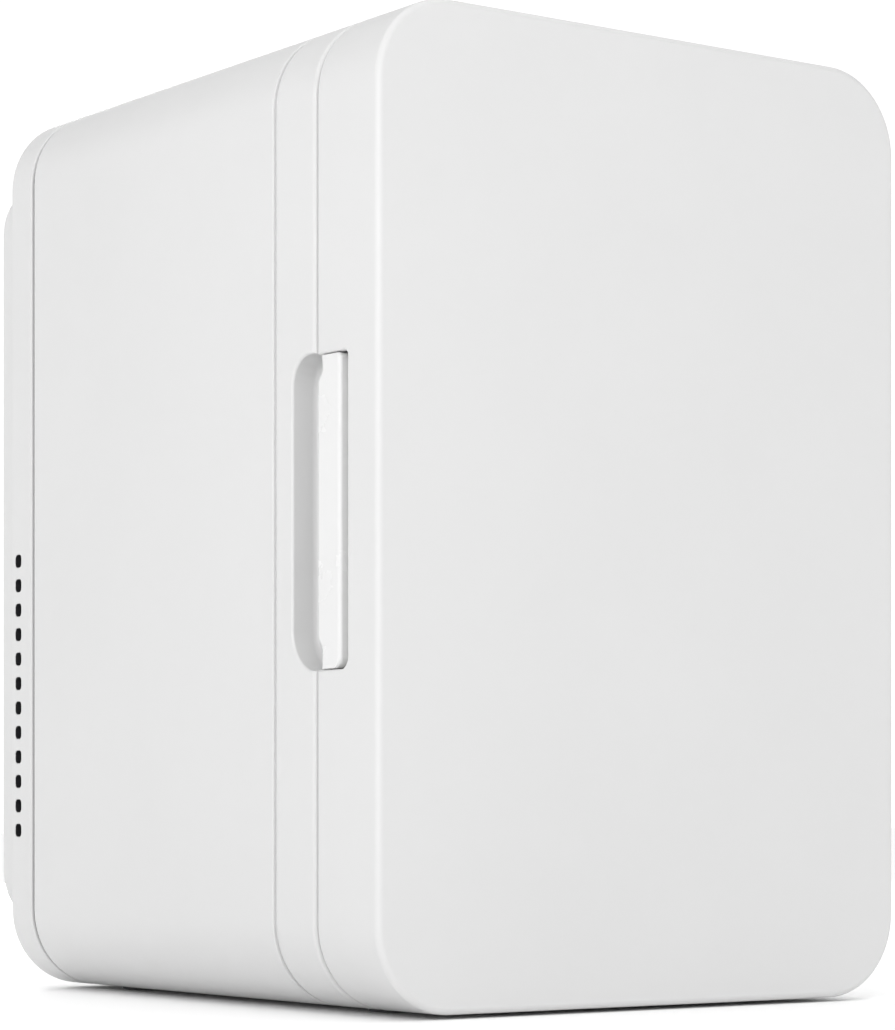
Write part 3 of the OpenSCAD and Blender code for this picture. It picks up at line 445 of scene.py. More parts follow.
def build_materials():
    return {
        "white_plastic": moulded("white_plastic", (0.59,) * 3, 0.42, tint=0.006),
        "bright_plastic": moulded("bright_plastic", (0.645,) * 3, 0.26, 2200, 0.00001, 0.002),
        "liner_plastic": moulded("liner_plastic", (0.74, 0.75, 0.75), 0.32, 2000, 0.000015, 0.008),
        "clear_plastic": clear_plastic("clear_plastic", (0.90, 0.95, 0.97)),
        "foam": bead_foam("foam", (0.90, 0.90, 0.88)),
        "gasket_rubber": moulded("gasket_rubber", (0.62, 0.62, 0.61), 0.6, 900, 0.00004, 0.04),
        "foot_rubber": moulded("foot_rubber", (0.10, 0.10, 0.105), 0.75, 700, 0.00006, 0.08, 0.3),
        "black_plastic": moulded("black_plastic", (0.018, 0.018, 0.02), 0.45, 1100, 0.00004, 0.15),
        "aluminium": brushed("aluminium", (0.80, 0.81, 0.83), 0.34, (1, 1, 0.04)),
        "ceramic": moulded("ceramic", (0.86, 0.85, 0.80), 0.5, 3000, 0.00002, 0.03),
        "steel": brushed("steel", (0.66, 0.67, 0.69), 0.3, (0.3, 1, 1), 1500),
        "brass": brushed("brass", (0.78, 0.58, 0.24), 0.28, (1, 0.1, 1), 1500),
        "circuit_board": circuit_board("circuit_board"),
        "copper_winding": wound_tape("copper_winding", (0.80, 0.55, 0.05)),
        "wire_sleeve": moulded("wire_sleeve", (0.45, 0.02, 0.015), 0.35, 1500, 0.00002, 0.1),
        "led_lens": clear_plastic("led_lens", (0.35, 0.9, 0.45)),
        "magnet": brushed("magnet", (0.22, 0.22, 0.23), 0.5, (1, 1, 1), 700),
        "hinge_plastic": moulded("hinge_plastic", (0.30, 0.31, 0.32), 0.4, 1500, 0.00003, 0.04),
    }


SLOT_OF = {s["node"]: s["material_slot"] for s in frame["record"]["subparts"]}
BODY_OF = {n: b for b, ns in frame["record"]["behaviour"]["bodies"].items() for n in ns}
MATERIALS = build_materials()


def material_of(node):
    return MATERIALS[SLOT_OF[node]]


def show(piece, node):
    stand_for(piece, node, material_of(node), BODY_OF[node])


# ---- Door ----

DOOR_FRONT_R = 2.4 * MM
DOOR_BACK_R = 1.3 * MM
NOTCH_RADII = (0.5 * MM, 0.5 * MM, 2.2 * MM, 4.2 * MM)
EAR_SLOT_HALF = 2.0 * MM
GRIP_DEEP = GRIP_HIGH.x - GRIP_LOW.x
TUB_X, TUB_Z0, TUB_Z1, TUB_R = 82 * MM, 28 * MM, 313 * MM, 12 * MM
TUB_FLOOR_Y = FRONT_Y + 19 * MM
LINER_T = 2 * MM
SCREW_HOLE_R = 1.7 * MM
RIM_IN = 2.7 * MM
DOOR_SCREWS = [(x * 92 * MM, MID_Z + z * 95 * MM) for x in (-1, 1) for z in (-1, 0, 1)]


def ear_slot(z):
    return box_solid(
        (HINGE_X - 5.8 * MM, HINGE_Y - 8 * MM, z - EAR_SLOT_HALF),
        (SIDE_X + MM, DOOR_BACK_Y + MM, z + EAR_SLOT_HALF),
    )


def grip_notch(gap, rim):
    """The notch in the door's side, with a rounded rim."""
    y0, y1 = GRIP_LOW.y - gap, DOOR_BACK_Y + 5 * MM
    z0, z1 = GRIP_LOW.z - gap, GRIP_HIGH.z + gap

    def ring(out, deep):
        radii = [r + out for r in NOTCH_RADII]
        return side_ring(y0 - out, y1 + out, z0 - out, z1 + out, radii, -SIDE_X + deep)

    return recess(ring, GRIP_DEEP + gap, rim, 0.3 * MM)


def door_shell():
    profile = fillet(DOOR_FRONT_R, FRONT_Y + DOOR_FRONT_R, DOOR_FRONT_R, -90, 0, 8)
    profile += fillet(DOOR_BACK_R, DOOR_BACK_Y - DOOR_BACK_R, DOOR_BACK_R, 0, 90, 5)
    profile += [(WALL, DOOR_BACK_Y), (WALL, FRONT_Y + WALL)]
    piece = sweep("door_shell", [body_ring(inset, y) for inset, y in profile])
    combine(piece, [grip_notch(0.2 * MM, 1.0 * MM)] + [ear_slot(z) for z in HINGE_ZS])
    smooth(piece)
    show(piece, "door_shell")


def tub_ring(out, y):
    return front_ring(
        2 * (TUB_X + out), TUB_Z1 - TUB_Z0 + 2 * out, TUB_R + out, y, (TUB_Z0 + TUB_Z1) / 2,
    )


def door_liner():
    """The door's inner sheet: a deep tub, a groove for the seal and a flat rim."""
    plate_y, seat_y = DOOR_BACK_Y - 2.5 * MM, DOOR_BACK_Y - 1.5 * MM
    mouth_r, floor_r, edge_r = 1.9 * MM, 5 * MM, 0.6 * MM
    rings = []
    for a in quarter(6):
        inset = floor_r * (1 - math.sin(a))
        rings.append(tub_ring(-LINER_T - inset, TUB_FLOOR_Y + floor_r * (1 - math.cos(a))))
    for a in quarter(5):
        out = mouth_r * (1 - math.cos(a))
        rings.append(tub_ring(-LINER_T + out, DOOR_BACK_Y - mouth_r * (1 - math.sin(a))))
    groove_y = DOOR_BACK_Y - MM
    for inset, y in ((18.5, DOOR_BACK_Y), (18.4, groove_y), (13.6, groove_y), (13.5, DOOR_BACK_Y)):
        rings.append(body_ring(inset * MM, y))
    for inset, y in fillet(RIM_IN + edge_r, DOOR_BACK_Y - edge_r, edge_r, 90, 0, 3):
        rings.append(body_ring(inset, y))
    rings.append(body_ring(RIM_IN, plate_y))
    rings += [tub_ring(0, plate_y), tub_ring(0, TUB_FLOOR_Y - LINER_T)]
    piece = sweep("door_liner", rings)
    cutters = [grip_notch(0.4 * MM, 0.3 * MM)] + [ear_slot(z) for z in HINGE_ZS]
    cutters += [
        stepped_hole(x, z, (plate_y - MM, seat_y, DOOR_BACK_Y + MM), (SCREW_HOLE_R, 3 * MM))
        for x, z in DOOR_SCREWS
    ]
    combine(piece, cutters)
    smooth(piece)
    show(piece, "door_liner")


def door_gasket():
    """A soft seal: a rounded bulb on a flat base, with a shallow fold along its middle."""
    low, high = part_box("door_gasket")
    out = SIDE_X - high.x
    width, y0, y1 = 4.8 * MM, low.y, high.y
    bulb = [
        (0.0, 0.0), (0.0, 0.35), (0.12, 0.5), (0.02, 0.72), (0.10, 0.93), (0.26, 1.0), (0.42, 0.96),
        (0.5, 0.88), (0.58, 0.96), (0.74, 1.0), (0.90, 0.93), (0.98, 0.72), (0.88, 0.5),
        (1.0, 0.35), (1.0, 0.0),
    ]
    rings = [body_ring(out + u * width, y0 + v * (y1 - y0)) for u, v in bulb]
    piece = sweep("door_gasket", rings, closed=True)
    smooth(piece, 50)
    show(piece, "door_gasket")


def grip_outline(front_y):
    """The grip seen from its side, as (y, z): its back edge is set back at both ends."""
    z0, z1, back = GRIP_LOW.z, GRIP_HIGH.z, GRIP_HIGH.y
    set_back, low_end, low_rise, high_end, high_rise = 2.6 * MM, 6 * MM, 6 * MM, 5 * MM, 4.5 * MM
    points = [(back - set_back, z0)]

    def eased(t):
        return back - set_back * (1 - t * t * (3 - 2 * t))

    for i in range(9):
        t = i / 8
        points.append((eased(t), z0 + low_end + low_rise * t))
    for i in range(9):
        t = 1 - i / 8
        points.append((eased(t), z1 - high_end - high_rise * t))
    points.append((back - set_back, z1))
    for r, z, start in ((2 * MM, z1 - 2 * MM, 90), (4 * MM, z0 + 4 * MM, 180)):
        for i in range(7):
            a = math.radians(start + 90 * i / 6)
            points.append((front_y + r + r * math.cos(a), z + r * math.sin(a)))
    return points


def shrunk(points, by_y, by_z):
    """An outline moved inwards along its normals, by different amounts along Y and Z."""
    moved = []
    for i, (y, z) in enumerate(points):
        (y0, z0), (y1, z1) = points[i - 1], points[(i + 1) % len(points)]
        length = math.hypot(y1 - y0, z1 - z0)
        moved.append((y - by_y * (z1 - z0) / length, z + by_z * (y1 - y0) / length))
    return moved


def grip_channel():
    """The finger channel, cut from behind."""
    low = Vector((GRIP_LOW.x + 5 * MM, 0, GRIP_LOW.z + 3 * MM))
    high = Vector((GRIP_LOW.x + 11 * MM, 0, GRIP_HIGH.z - 3 * MM))
    centre, size = (low + high) / 2, high - low

    def ring(out, deep):
        points = rounded(size.x + 2 * out, size.z + 2 * out, 2.4 * MM + out, 6)
        return [Vector((centre.x + u, GRIP_HIGH.y - deep, centre.z + v)) for u, v in points]

    return recess(ring, 12 * MM, 0.6 * MM, 2 * MM)


def door_grip():
    """A pad with rounded edges on a wider base, with a groove along its front."""
    edge, end_edge, groove, groove_deep = 1.5 * MM, 0.4 * MM, 4.2 * MM, 6 * MM
    pad = grip_outline(GRIP_LOW.y + groove)
    base = grip_outline(GRIP_LOW.y)
    layers = []
    for a in quarter(6):
        inset = 1 - math.sin(a)
        layers.append((shrunk(pad, edge * inset, end_edge * inset), edge * (1 - math.cos(a))))
    layers += [(pad, groove_deep), (base, groove_deep), (base, GRIP_DEEP)]
    rings = [[Vector((GRIP_LOW.x + deep, y, z)) for y, z in points] for points, deep in layers]
    piece = sweep("door_grip", rings)
    combine(piece, [grip_channel()])
    smooth(piece)
    show(piece, "door_grip")


# ---- Cabinet ----

FRAME_FRONT_R = 1.8 * MM
SEAM_R = 0.6 * MM
SEAM_DEEP = 1.2 * MM
SEAM_IN_SHELL = 1.35 * MM
SEAM_IN_NEIGHBOUR = 0.75 * MM
PANEL_LOW, PANEL_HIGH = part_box("rear_panel")
PANEL_R = 23 * MM
COVER_MOUTH_IN = 11.4 * MM
SCOOP_Z0, SCOOP_Z1 = GRIP_LOW.z - 0.4 * MM, GRIP_HIGH.z + 1.0 * MM
SCOOP_BACK_Y = FRAME_Y + 13.9 * MM
SCOOP_IN = 11 * MM
SCOOP_RADII = (14 * MM, 10 * MM, 0.5 * MM, 0.5 * MM)
HINGE_SCREW_STEP = 8 * MM
FAN_SCREW_AT = 35.75 * MM
LOUVRE_Z0, LOUVRE_Z1 = 288 * MM, 308 * MM
LOUVRE_PITCH, LOUVRE_HALF = 8 * MM, 1.5 * MM
BAY_W, BAY_H = 132 * MM, 34 * MM
BAY_BLOCK_X, BAY_BLOCK_Z = 68.5 * MM, 19.5 * MM
POST_INSET = 12.5 * MM
COVER_POSTS = [
    (x * (SIDE_X - POST_INSET), MID_Z + z * 110 * MM) for x in (-1, 1) for z in (-1, 1)
]
POST_FROM_EDGE = PANEL_R - (PANEL_R - 7.5 * MM) / math.sqrt(2)
PANEL_POSTS = [
    (x, z)
    for x in (PANEL_LOW.x + POST_FROM_EDGE, PANEL_HIGH.x - POST_FROM_EDGE)
    for z in (PANEL_LOW.z + POST_FROM_EDGE, PANEL_HIGH.z - POST_FROM_EDGE)
]


def panel_ring(inset, y):
    size = PANEL_HIGH - PANEL_LOW
    return front_ring(size.x - 2 * inset, size.z - 2 * inset, PANEL_R - inset, y)


def scoop():
    """The finger scoop in the frame's side, which runs out past the frame's front."""
    def ring(out, deep):
        radii = [max(r + out, 0.2 * MM) for r in SCOOP_RADII]
        return side_ring(
            FRAME_Y - 8 * MM - out, SCOOP_BACK_Y + out, SCOOP_Z0 - out, SCOOP_Z1 + out, radii,
            -SIDE_X + deep,
        )

    return recess(ring, SCOOP_IN, 1.1 * MM, 3 * MM)


def front_frame():
    profile = fillet(FRAME_FRONT_R, FRAME_Y + FRAME_FRONT_R, FRAME_FRONT_R, -90, 0)
    edge_y = SHELL_Y - SEAM_IN_NEIGHBOUR
    profile += fillet(SEAM_R, edge_y - SEAM_R, SEAM_R, 0, 90, 5)
    lip = WALL + 0.1 * MM
    profile += [
        (SEAM_DEEP, edge_y), (SEAM_DEEP, SHELL_Y), (lip, SHELL_Y), (lip, SHELL_Y + LIP_L),
        (WALL + LIP_T, SHELL_Y + LIP_L), (WALL + LIP_T, FRAME_Y + WALL),
    ]
    rings = [body_ring(inset, y) for inset, y in profile]
    rings += [cavity_ring(2.2 * MM, FRAME_Y + WALL), cavity_ring(2.2 * MM, FRAME_Y)]
    piece = sweep("front_frame", rings, closed=True)
    combine(piece, [box_solid(
        (-SIDE_X + WALL / 2, FRAME_Y + 0.6 * MM, SCOOP_Z0 - 2 * MM),
        (-SIDE_X + SCOOP_IN + 2 * MM, SCOOP_BACK_Y + 2 * MM, SCOOP_Z1 + 2 * MM),
    )], "UNION")
    cutters = [scoop()]
    for z in HINGE_ZS:
        cutters.append(box_solid(
            (HINGE_X - 4.5 * MM, FRAME_Y - MM, z - 1.7 * MM),
            (HINGE_X + 4.5 * MM, FRAME_Y + WALL + MM, z + 1.7 * MM),
        ))
        ys = FRAME_Y - MM, FRAME_Y + 1.6 * MM, FRAME_Y + WALL + MM
        for step in (-HINGE_SCREW_STEP, HINGE_SCREW_STEP):
            cutters.append(stepped_hole(HINGE_X, z + step, ys, (3.2 * MM, SCREW_HOLE_R)))
    combine(piece, cutters)
    smooth(piece)
    show(piece, "front_frame")


def body_shell():
    slit = 0.05 * MM
    low_y, high_y = SHELL_Y + slit, COVER_Y - slit
    y0, y1 = SHELL_Y + SEAM_IN_SHELL, COVER_Y - SEAM_IN_SHELL
    profile = [(SEAM_DEEP, low_y), (SEAM_DEEP, y0)]
    profile += fillet(SEAM_R, y0 + SEAM_R, SEAM_R, -90, 0, 5)
    profile += fillet(SEAM_R, y1 - SEAM_R, SEAM_R, 0, 90, 5)
    profile += [(SEAM_DEEP, y1), (SEAM_DEEP, high_y), (WALL, high_y), (WALL, low_y)]
    piece = sweep("body_shell", [body_ring(inset, y) for inset, y in profile], closed=True)
    post_y, post_r = COVER_Y - 26 * MM, 4 * MM
    posts = [turned_y(x, z, [(post_y, post_r), (y1, post_r)]) for x, z in COVER_POSTS]
    combine(piece, posts, "UNION")

    def tray_opening(out, deep):
        return top_ring(TRAY_LOW, TRAY_HIGH, 0.1 * MM + out, 4 * MM, TOP_Z - deep)

    combine(piece, [recess(tray_opening, 2 * WALL, 0.6 * MM, 0.2 * MM)])
    smooth(piece)
    show(piece, "body_shell")


def vent(side, z):
    """One rounded square vent in the side of the rear cover."""
    half = 2.5 * MM

    def ring(out, deep):
        return side_ring(
            VENT_Y - half - out, VENT_Y + half + out, z - half - out, z + half + out,
            (1.6 * MM + out,) * 4, side * (SIDE_X - deep), 4,
        )

    return recess(ring, 2 * WALL, 0.4 * MM, 0.2 * MM, 3)


def body_inset(point):
    """How far a point lies inside the cabinet's outline, seen from the front."""
    out_x = abs(point.x) - (SIDE_X - CORNER_R)
    out_z = abs(point.z - MID_Z) - (BODY_H / 2 - CORNER_R)
    if out_x > 0 and out_z > 0:
        return CORNER_R - math.hypot(out_x, out_z)
    return CORNER_R - max(out_x, out_z)


def paint_shade_inside(piece, deeper, y1):
    """Painted shade: black plastic on the cover's own faces further in than a depth and before y1,
    so the vents read as dark holes instead of showing the white inside in shade.
    """
    piece.data.materials.append(MATERIALS["black_plastic"])
    for face in piece.data.polygons:
        if body_inset(face.center) > deeper and face.center.y < y1:
            face.material_index = 1


def rear_cover():
    back_r = 0.9 * MM
    edge_y = COVER_Y + SEAM_IN_NEIGHBOUR
    profile = [(SEAM_DEEP, COVER_Y), (SEAM_DEEP, edge_y)]
    profile += fillet(SEAM_R, edge_y + SEAM_R, SEAM_R, -90, 0, 5)
    profile += fillet(back_r, PANEL_Y - back_r, back_r, 0, 90, 8)
    rings = [body_ring(inset, y) for inset, y in profile]
    rings += [panel_ring(COVER_MOUTH_IN, PANEL_Y), panel_ring(COVER_MOUTH_IN, PANEL_Y - WALL)]
    rings += [body_ring(WALL, PANEL_Y - WALL), body_ring(WALL, COVER_Y)]
    piece = sweep("rear_cover", rings, closed=True)
    cover_post_r, panel_post_r, post_y = 3.5 * MM, 3 * MM, PANEL_Y - MM
    posts = [
        turned_y(x, z, [(COVER_Y, cover_post_r), (post_y, cover_post_r)]) for x, z in COVER_POSTS
    ]
    posts += [
        turned_y(x, z, [(post_y, panel_post_r), (BACK_Y - WALL, panel_post_r)])
        for x, z in PANEL_POSTS
    ]
    combine(piece, posts, "UNION")
    ys = COVER_Y - MM, PANEL_Y - 1.7 * MM, PANEL_Y + MM
    seats = [stepped_hole(x, z, ys, (SCREW_HOLE_R, 3.1 * MM)) for x, z in COVER_POSTS]
    first = UNIT_Z - VENT_PITCH * (VENT_COUNT - 1) / 2
    vents = [vent(side, first + i * VENT_PITCH) for side in (-1, 1) for i in range(VENT_COUNT)]
    combine(piece, seats + vents)
    smooth(piece)
    show(piece, "rear_cover")
    # Painted shade: the cover's white inside behind the vents is coloured black
    paint_shade_inside(piece, 1.0 * MM, PANEL_Y - MM)


def slot_cutter(x0, x1, z0, z1):
    """A slot with round ends through the rear panel's back wall, with a rounded rim."""
    width, height = x1 - x0, z1 - z0
    x, z = (x0 + x1) / 2, (z0 + z1) / 2
    r = min(width, height) / 2 - 0.01 * MM

    def ring(out, deep):
        return front_ring(width + 2 * out, height + 2 * out, r + out, BACK_Y - deep, z, x, 4)

    return recess(ring, WALL + MM, 0.4 * MM, 0.1 * MM, 3)


def grille_slots():
    """Slots that fill the exhaust fan's circle either side of a middle bar, and the louvres."""
    radius, pitch, slot, bar_half = 38 * MM, 5.2 * MM, 2.6 * MM, 1.4 * MM
    cutters = []
    for i in range(-7, 8):
        z = UNIT_Z + i * pitch
        half = math.sqrt(radius ** 2 - (i * pitch) ** 2) - 1.5 * MM
        for x0, x1 in ((-half, -bar_half), (bar_half, half)):
            cutters.append(slot_cutter(x0, x1, z - slot / 2, z + slot / 2))
    for i in range(-7, 8):
        x = i * LOUVRE_PITCH
        cutters.append(slot_cutter(x - LOUVRE_HALF, x + LOUVRE_HALF, LOUVRE_Z0, LOUVRE_Z1))
    return cutters


def bay():
    """The recess round the sockets and the switch."""
    def ring(out, deep):
        return front_ring(
            BAY_W + 2 * out, BAY_H + 2 * out, 4 * MM + out, BACK_Y - deep, BAY_Z, 0, 6,
        )

    return recess(ring, BAY_IN, 1.2 * MM, 0.5 * MM)


def bay_hole(node):
    """The hole that a socket's body fills, within its flange."""
    low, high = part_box(node)
    flange, gap = 2.5 * MM, 0.05 * MM
    return box_solid(
        (low.x + flange - gap, BAY_Y - 2 * WALL, low.z - gap),
        (high.x - flange + gap, BAY_Y + MM, high.z + gap),
    )


def rear_panel():
    back_r = 2 * MM
    profile = [(WALL, BACK_Y - WALL), (WALL, PANEL_Y), (0, PANEL_Y)]
    profile += fillet(back_r, BACK_Y - back_r, back_r, 0, 90, 8)
    rings = [panel_ring(inset, y) for inset, y in profile]
    piece = sweep("rear_panel", rings)
    combine(piece, [box_solid(
        (-BAY_BLOCK_X, BAY_Y - WALL, BAY_Z - BAY_BLOCK_Z),
        (BAY_BLOCK_X, BACK_Y - MM, BAY_Z + BAY_BLOCK_Z),
    )], "UNION")
    through = BACK_Y - WALL - 3 * MM
    panel_ys = through, BACK_Y - 1.6 * MM, BACK_Y + MM
    fan_ys = through, BACK_Y - 1.4 * MM, BACK_Y + MM
    seats = [stepped_hole(x, z, panel_ys, (SCREW_HOLE_R, 3.2 * MM)) for x, z in PANEL_POSTS]
    seats += [
        stepped_hole(x, UNIT_Z + z, fan_ys, (2.1 * MM, 3.6 * MM))
        for x in (-FAN_SCREW_AT, FAN_SCREW_AT) for z in (-FAN_SCREW_AT, FAN_SCREW_AT)
    ]
    combine(piece, [bay()] + seats + grille_slots())
    led, lamp_r = middle("status_leds"), 2.6 * MM
    switch_half_x, switch_half_z = 6.5 * MM, 9.3 * MM
    switch = box_solid(
        (SWITCH_X - switch_half_x, BAY_Y - 2 * WALL, BAY_Z - switch_half_z),
        (SWITCH_X + switch_half_x, BAY_Y + MM, BAY_Z + switch_half_z),
    )
    lamp = turned_y(led.x, led.z, [(BAY_Y - 2 * WALL, lamp_r), (BAY_Y + MM, lamp_r)])
    combine(piece, [bay_hole("ac_inlet"), bay_hole("dc_inlet"), switch, lamp])
    smooth(piece)
    show(piece, "rear_panel")


def inner_liner():
    """The cold space's sheet: a tub with a rounded mouth and a rounded bottom edge."""
    floor_r, mouth_r, sheet = 4 * MM, 1.2 * MM, LINER_T
    back = LINER_BACK_Y - sheet
    rings = []
    for a in quarter(6):
        rings.append(cavity_ring(-floor_r * (1 - math.sin(a)), back - floor_r * (1 - math.cos(a))))
    for a in quarter(4):
        y = FRAME_Y + mouth_r * (1 - math.sin(a))
        rings.append(cavity_ring(mouth_r * (1 - math.cos(a)), y))
    rings += [cavity_ring(sheet, FRAME_Y), cavity_ring(sheet, back + sheet)]
    piece = sweep("inner_liner", rings)
    low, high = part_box("cold_block")
    gap = Vector((MM, 5 * MM, MM))
    combine(piece, [box_solid(low - gap, high + gap)])
    smooth(piece)
    show(piece, "inner_liner")


# ---- Handle, feet and fans ----

def carry_handle():
    """A U of rounded bar whose two ends turn on the pins."""
    low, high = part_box("carry_handle")
    thick, arm_w, bar_w = high.z - low.z, 12 * MM, 14 * MM
    z = (low.z + high.z) / 2
    arm_x = high.x - arm_w / 2
    pivot_y = high.y - thick / 2
    bar_y = low.y + bar_w / 2
    bend = 9 * MM
    stations = []
    for a in quarter(6):
        reach = thick / 2 * math.cos(a)
        stations.append((arm_x, pivot_y + reach, 0, arm_w / 2, thick / 2 * max(math.sin(a), 0.02)))
    for i in range(9):
        a = 90 * i / 8
        turn = math.radians(a)
        width = (arm_w + (bar_w - arm_w) * i / 8) / 2
        x = arm_x - bend + bend * math.cos(turn)
        y = bar_y + bend - bend * math.sin(turn)
        stations.append((x, y, a, width, thick / 2))
    stations += [(-x, y, 180 - a, w, h) for x, y, a, w, h in reversed(stations)]
    rings = []
    for x, y, a, w, h in stations:
        out = Vector((math.cos(math.radians(a)), -math.sin(math.radians(a)), 0))
        section = rounded(2 * w, 2 * h, min(3.2 * MM, 0.98 * h, 0.98 * w), 5)
        rings.append([Vector((x, y, z)) + out * u + Vector((0, 0, v)) for u, v in section])
    piece = sweep("carry_handle", rings)
    smooth(piece)
    show(piece, "carry_handle")


def foot(node):
    """A rubber foot: a low disc with rounded edges and a ring groove underneath."""
    low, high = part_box(node)
    x, y = (low.x + high.x) / 2, (low.y + high.y) / 2
    r, top, stem = (high.x - low.x) / 2, BASE_Z, 2.4 * MM
    profile = [
        (0.3, 0.5), (5.6, 0.5), (5.9, 0.05), (6.4, 0.0), (8.4, 0.0), (8.8, 0.15), (9.0, 0.5),
        (9.0, 1.2), (8.8, 1.45), (8.5, 1.5),
    ]
    profile_r, profile_h = 9 * MM, 1.5 * MM
    rings = [
        circle_z(x, y, radius * MM * r / profile_r, height * MM * top / profile_h)
        for radius, height in profile
    ]
    rings += [circle_z(x, y, stem, top), circle_z(x, y, stem, high.z)]
    piece = sweep(node, rings)
    smooth(piece)
    show(piece, node)


def blade_ring(centre, radius, turn, y_at, columns=8):
    """A blade's section at one radius: out along its back face and home along its front."""
    x, z = centre
    thick, spread = 0.9 * MM, 21
    over, under = [], []
    for j in range(columns + 1):
        t = 2 * j / columns - 1
        a = math.radians(turn + spread * t)
        y = y_at(t)
        half = thick / 2 * math.sqrt(max(1 - t ** 4, 0.05))
        over.append(Vector((x + radius * math.cos(a), y + half, z + radius * math.sin(a))))
        under.append(Vector((x + radius * math.cos(a), y - half, z + radius * math.sin(a))))
    return over + under[::-1]


def fan_rotor(node, hub_r, blades):
    """A hub with a rounded rim and curved, twisted blades on a shaft."""
    low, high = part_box(node)
    x, z, tip = (low.x + high.x) / 2, (low.z + high.z) / 2, (high.x - low.x) / 2
    rim = high.y - low.y - 1.4 * MM
    hub_low = high.y - rim
    r, chamfer, shaft_r, dish = 1.2 * MM, 0.4 * MM, 1.5 * MM, 0.3 * MM
    stations = [(low.y, shaft_r), (hub_low, shaft_r), (hub_low, hub_r - chamfer)]
    stations.append((hub_low + chamfer, hub_r))
    stations += [
        (high.y - r + r * math.sin(a), hub_r - r + r * math.cos(a)) for a in quarter(6)
    ]
    stations += [(high.y, hub_r * 0.62), (high.y - dish, hub_r * 0.6), (high.y - dish, 0.5 * MM)]
    parts = [turned_y(x, z, stations, 48)]
    rise, camber, lean, sunk, rows = rim - 1.4 * MM, 0.9 * MM, 14, 0.6 * MM, 5

    def blade_y(t, outward):
        tilt = rise / 2 * t * (1 - 0.25 * outward / rows)
        return (hub_low + high.y) / 2 + tilt + camber * (1 - t * t) - camber / 2

    for blade in range(blades):
        rings = []
        for i in range(rows + 1):
            radius = hub_r - sunk + (tip - hub_r + sunk) * i / rows
            turn = 360 * blade / blades + lean * i / rows
            rings.append(blade_ring((x, z), radius, turn, lambda t, i=i: blade_y(t, i)))
        parts.append(sweep("blade", rings))
    piece = joined(parts)
    smooth(piece)
    show(piece, node)


# ---- Everything in its place ----

# Nodes that keep their CAD shape with rounded edges, and the radius of those in mm
SOFTENED = {
    "handle_tray": 0.5, "shelf": 0.5, "shelf_ledges": 0.6, "door_rack_upper": 0.6,
    "door_rack_lower": 0.6, "cold_fan_cover": 0.6, "ac_inlet": 0.3, "dc_inlet": 0.3,
    "ac_pins": 0.3, "dc_pins": 0.3, "switch_housing": 0.3, "mode_rocker": 0.5,
    "hinge_bracket_upper": 0.3, "hinge_bracket_lower": 0.3, "hot_fan_frame": 0.4,
    "cold_fan_frame": 0.3, "hinge_block_upper": 0.4, "hinge_block_lower": 0.4,
}


def keep_cad_nodes():
    """Gives every CAD node its material; those that no piece stands for are seen as they are."""
    for node, obj in frame["nodes"].items():
        obj.data.materials.clear()
        obj.data.materials.append(material_of(node))


def main():
    keep_cad_nodes()
    door_shell()
    door_liner()
    door_gasket()
    door_grip()
    front_frame()
    body_shell()
    rear_cover()
    rear_panel()
    inner_liner()
    carry_handle()
    for node in ("foot_front_left", "foot_front_right", "foot_rear_left", "foot_rear_right"):
        foot(node)
    fan_rotor("hot_fan_rotor", 16 * MM, 7)
    fan_rotor("cold_fan_rotor", 11 * MM, 7)
    for node, width in SOFTENED.items():
        show(softened(node, width * MM), node)


# ---- Stage, light and camera ----

def floor():
    half = 6.0
    corners = [(-half, -half, 0), (half, -half, 0), (half, half, 0), (-half, half, 0)]
    obj = mesh_object("floor", corners, [(0, 1, 2, 3)])
    material, tree, shader, coords = node_material("floor")
    tree.links.new(ramp(tree, noise(tree, coords, 3), 0.965, 0.975), shader.inputs["Base Color"])
    shader.inputs["Roughness"].default_value = 0.9
    shader.inputs["Specular IOR Level"].default_value = 0.1
    obj.data.materials.append(material)


BODY_MIDDLE = Vector((0, 0, 0.17))


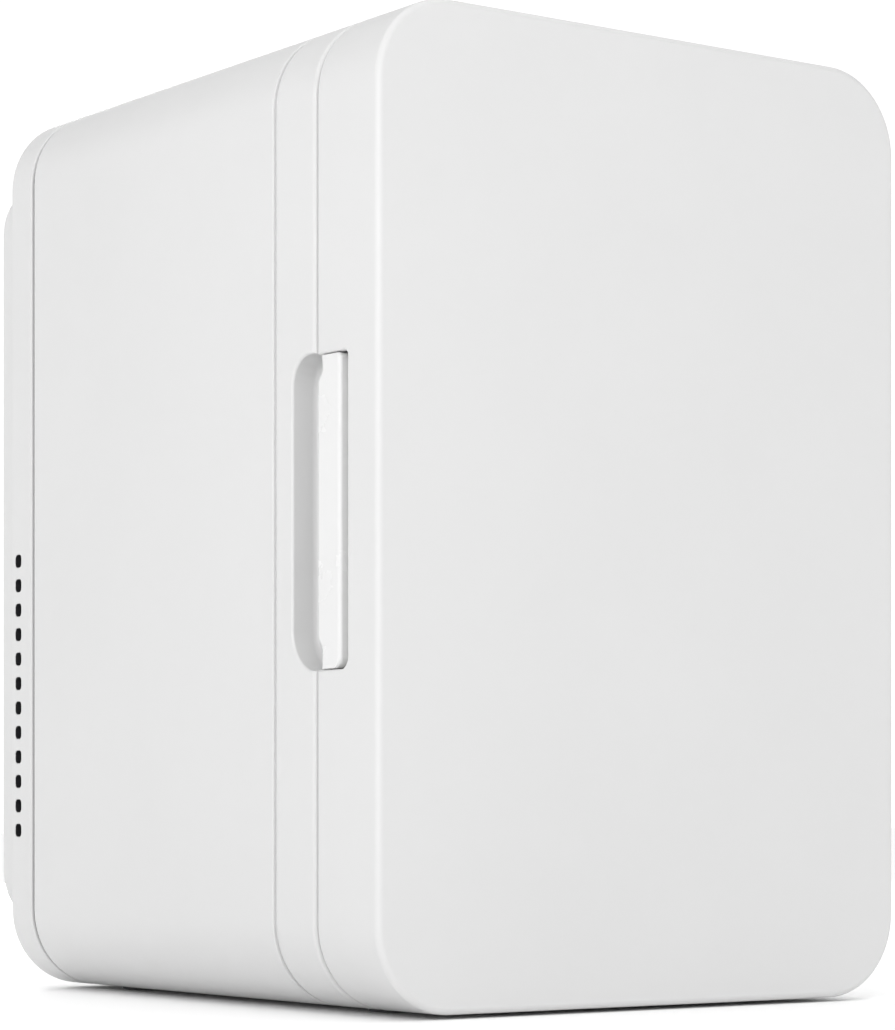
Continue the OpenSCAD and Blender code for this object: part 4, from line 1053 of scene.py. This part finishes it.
def softbox(name, place, width, height, power):
    """A soft rectangular light aimed at the middle of the body."""
    light = bpy.data.lights.new(name, "AREA")
    light.shape = "RECTANGLE"
    light.size = width
    light.size_y = height
    light.energy = power
    obj = bpy.data.objects.new(name, light)
    obj.location = place
    obj.rotation_euler = (BODY_MIDDLE - Vector(place)).to_track_quat("-Z", "Y").to_euler()
    bpy.context.scene.collection.objects.link(obj)


def world_light():
    """A white surround, darker above the horizon and white again overhead."""
    world = bpy.data.worlds.new("studio")
    world.use_nodes = True
    tree = world.node_tree
    background = tree.nodes["Background"]
    coords = tree.nodes.new("ShaderNodeTexCoord")
    split = tree.nodes.new("ShaderNodeSeparateXYZ")
    tree.links.new(coords.outputs["Generated"], split.inputs["Vector"])
    walls = ramp(tree, split.outputs["Z"], 1.0, 0.42, 0.36, 0.5)
    ceiling = ramp(tree, split.outputs["Z"], 0.0, 0.9, 0.68, 0.78)
    both = tree.nodes.new("ShaderNodeMix")
    both.data_type = "RGBA"
    both.blend_type = "ADD"
    both.inputs["Factor"].default_value = 1.0
    colour_a, colour_b, colour_out = 6, 7, 2
    tree.links.new(walls, both.inputs[colour_a])
    tree.links.new(ceiling, both.inputs[colour_b])
    tree.links.new(both.outputs[colour_out], background.inputs["Color"])
    background.inputs["Strength"].default_value = 1.07
    bpy.context.scene.world = world


def lights():
    world_light()
    softbox("key", (-1.25, -1.05, 0.4), 0.35, 0.9, 7.2)
    softbox("front", (-0.9, -1.3, 1.1), 0.7, 0.5, 4.1)
    softbox("low", (-1.7, 0.2, 0.15), 0.8, 0.5, 0.8)
    softbox("rim", (0.7, 1.55, 0.4), 0.5, 0.9, 14)
    softbox("right", (1.3, -1.3, 0.5), 0.7, 0.7, 0.8)


def camera():
    """A level camera to the front left, its lens shifted to take in the whole body."""
    data = bpy.data.cameras.new("camera")
    obj = bpy.data.objects.new("camera", data)
    obj.location = (-0.7251, -1.0195, 0.0721)
    obj.rotation_euler = (math.radians(90), 0, math.radians(-35.765))
    data.sensor_width = 36
    data.lens = 114.72
    data.shift_y = 0.28
    bpy.context.scene.collection.objects.link(obj)
    bpy.context.scene.camera = obj


main()
floor()
lights()
camera()
bpy.context.scene.view_settings.view_transform = "Standard"
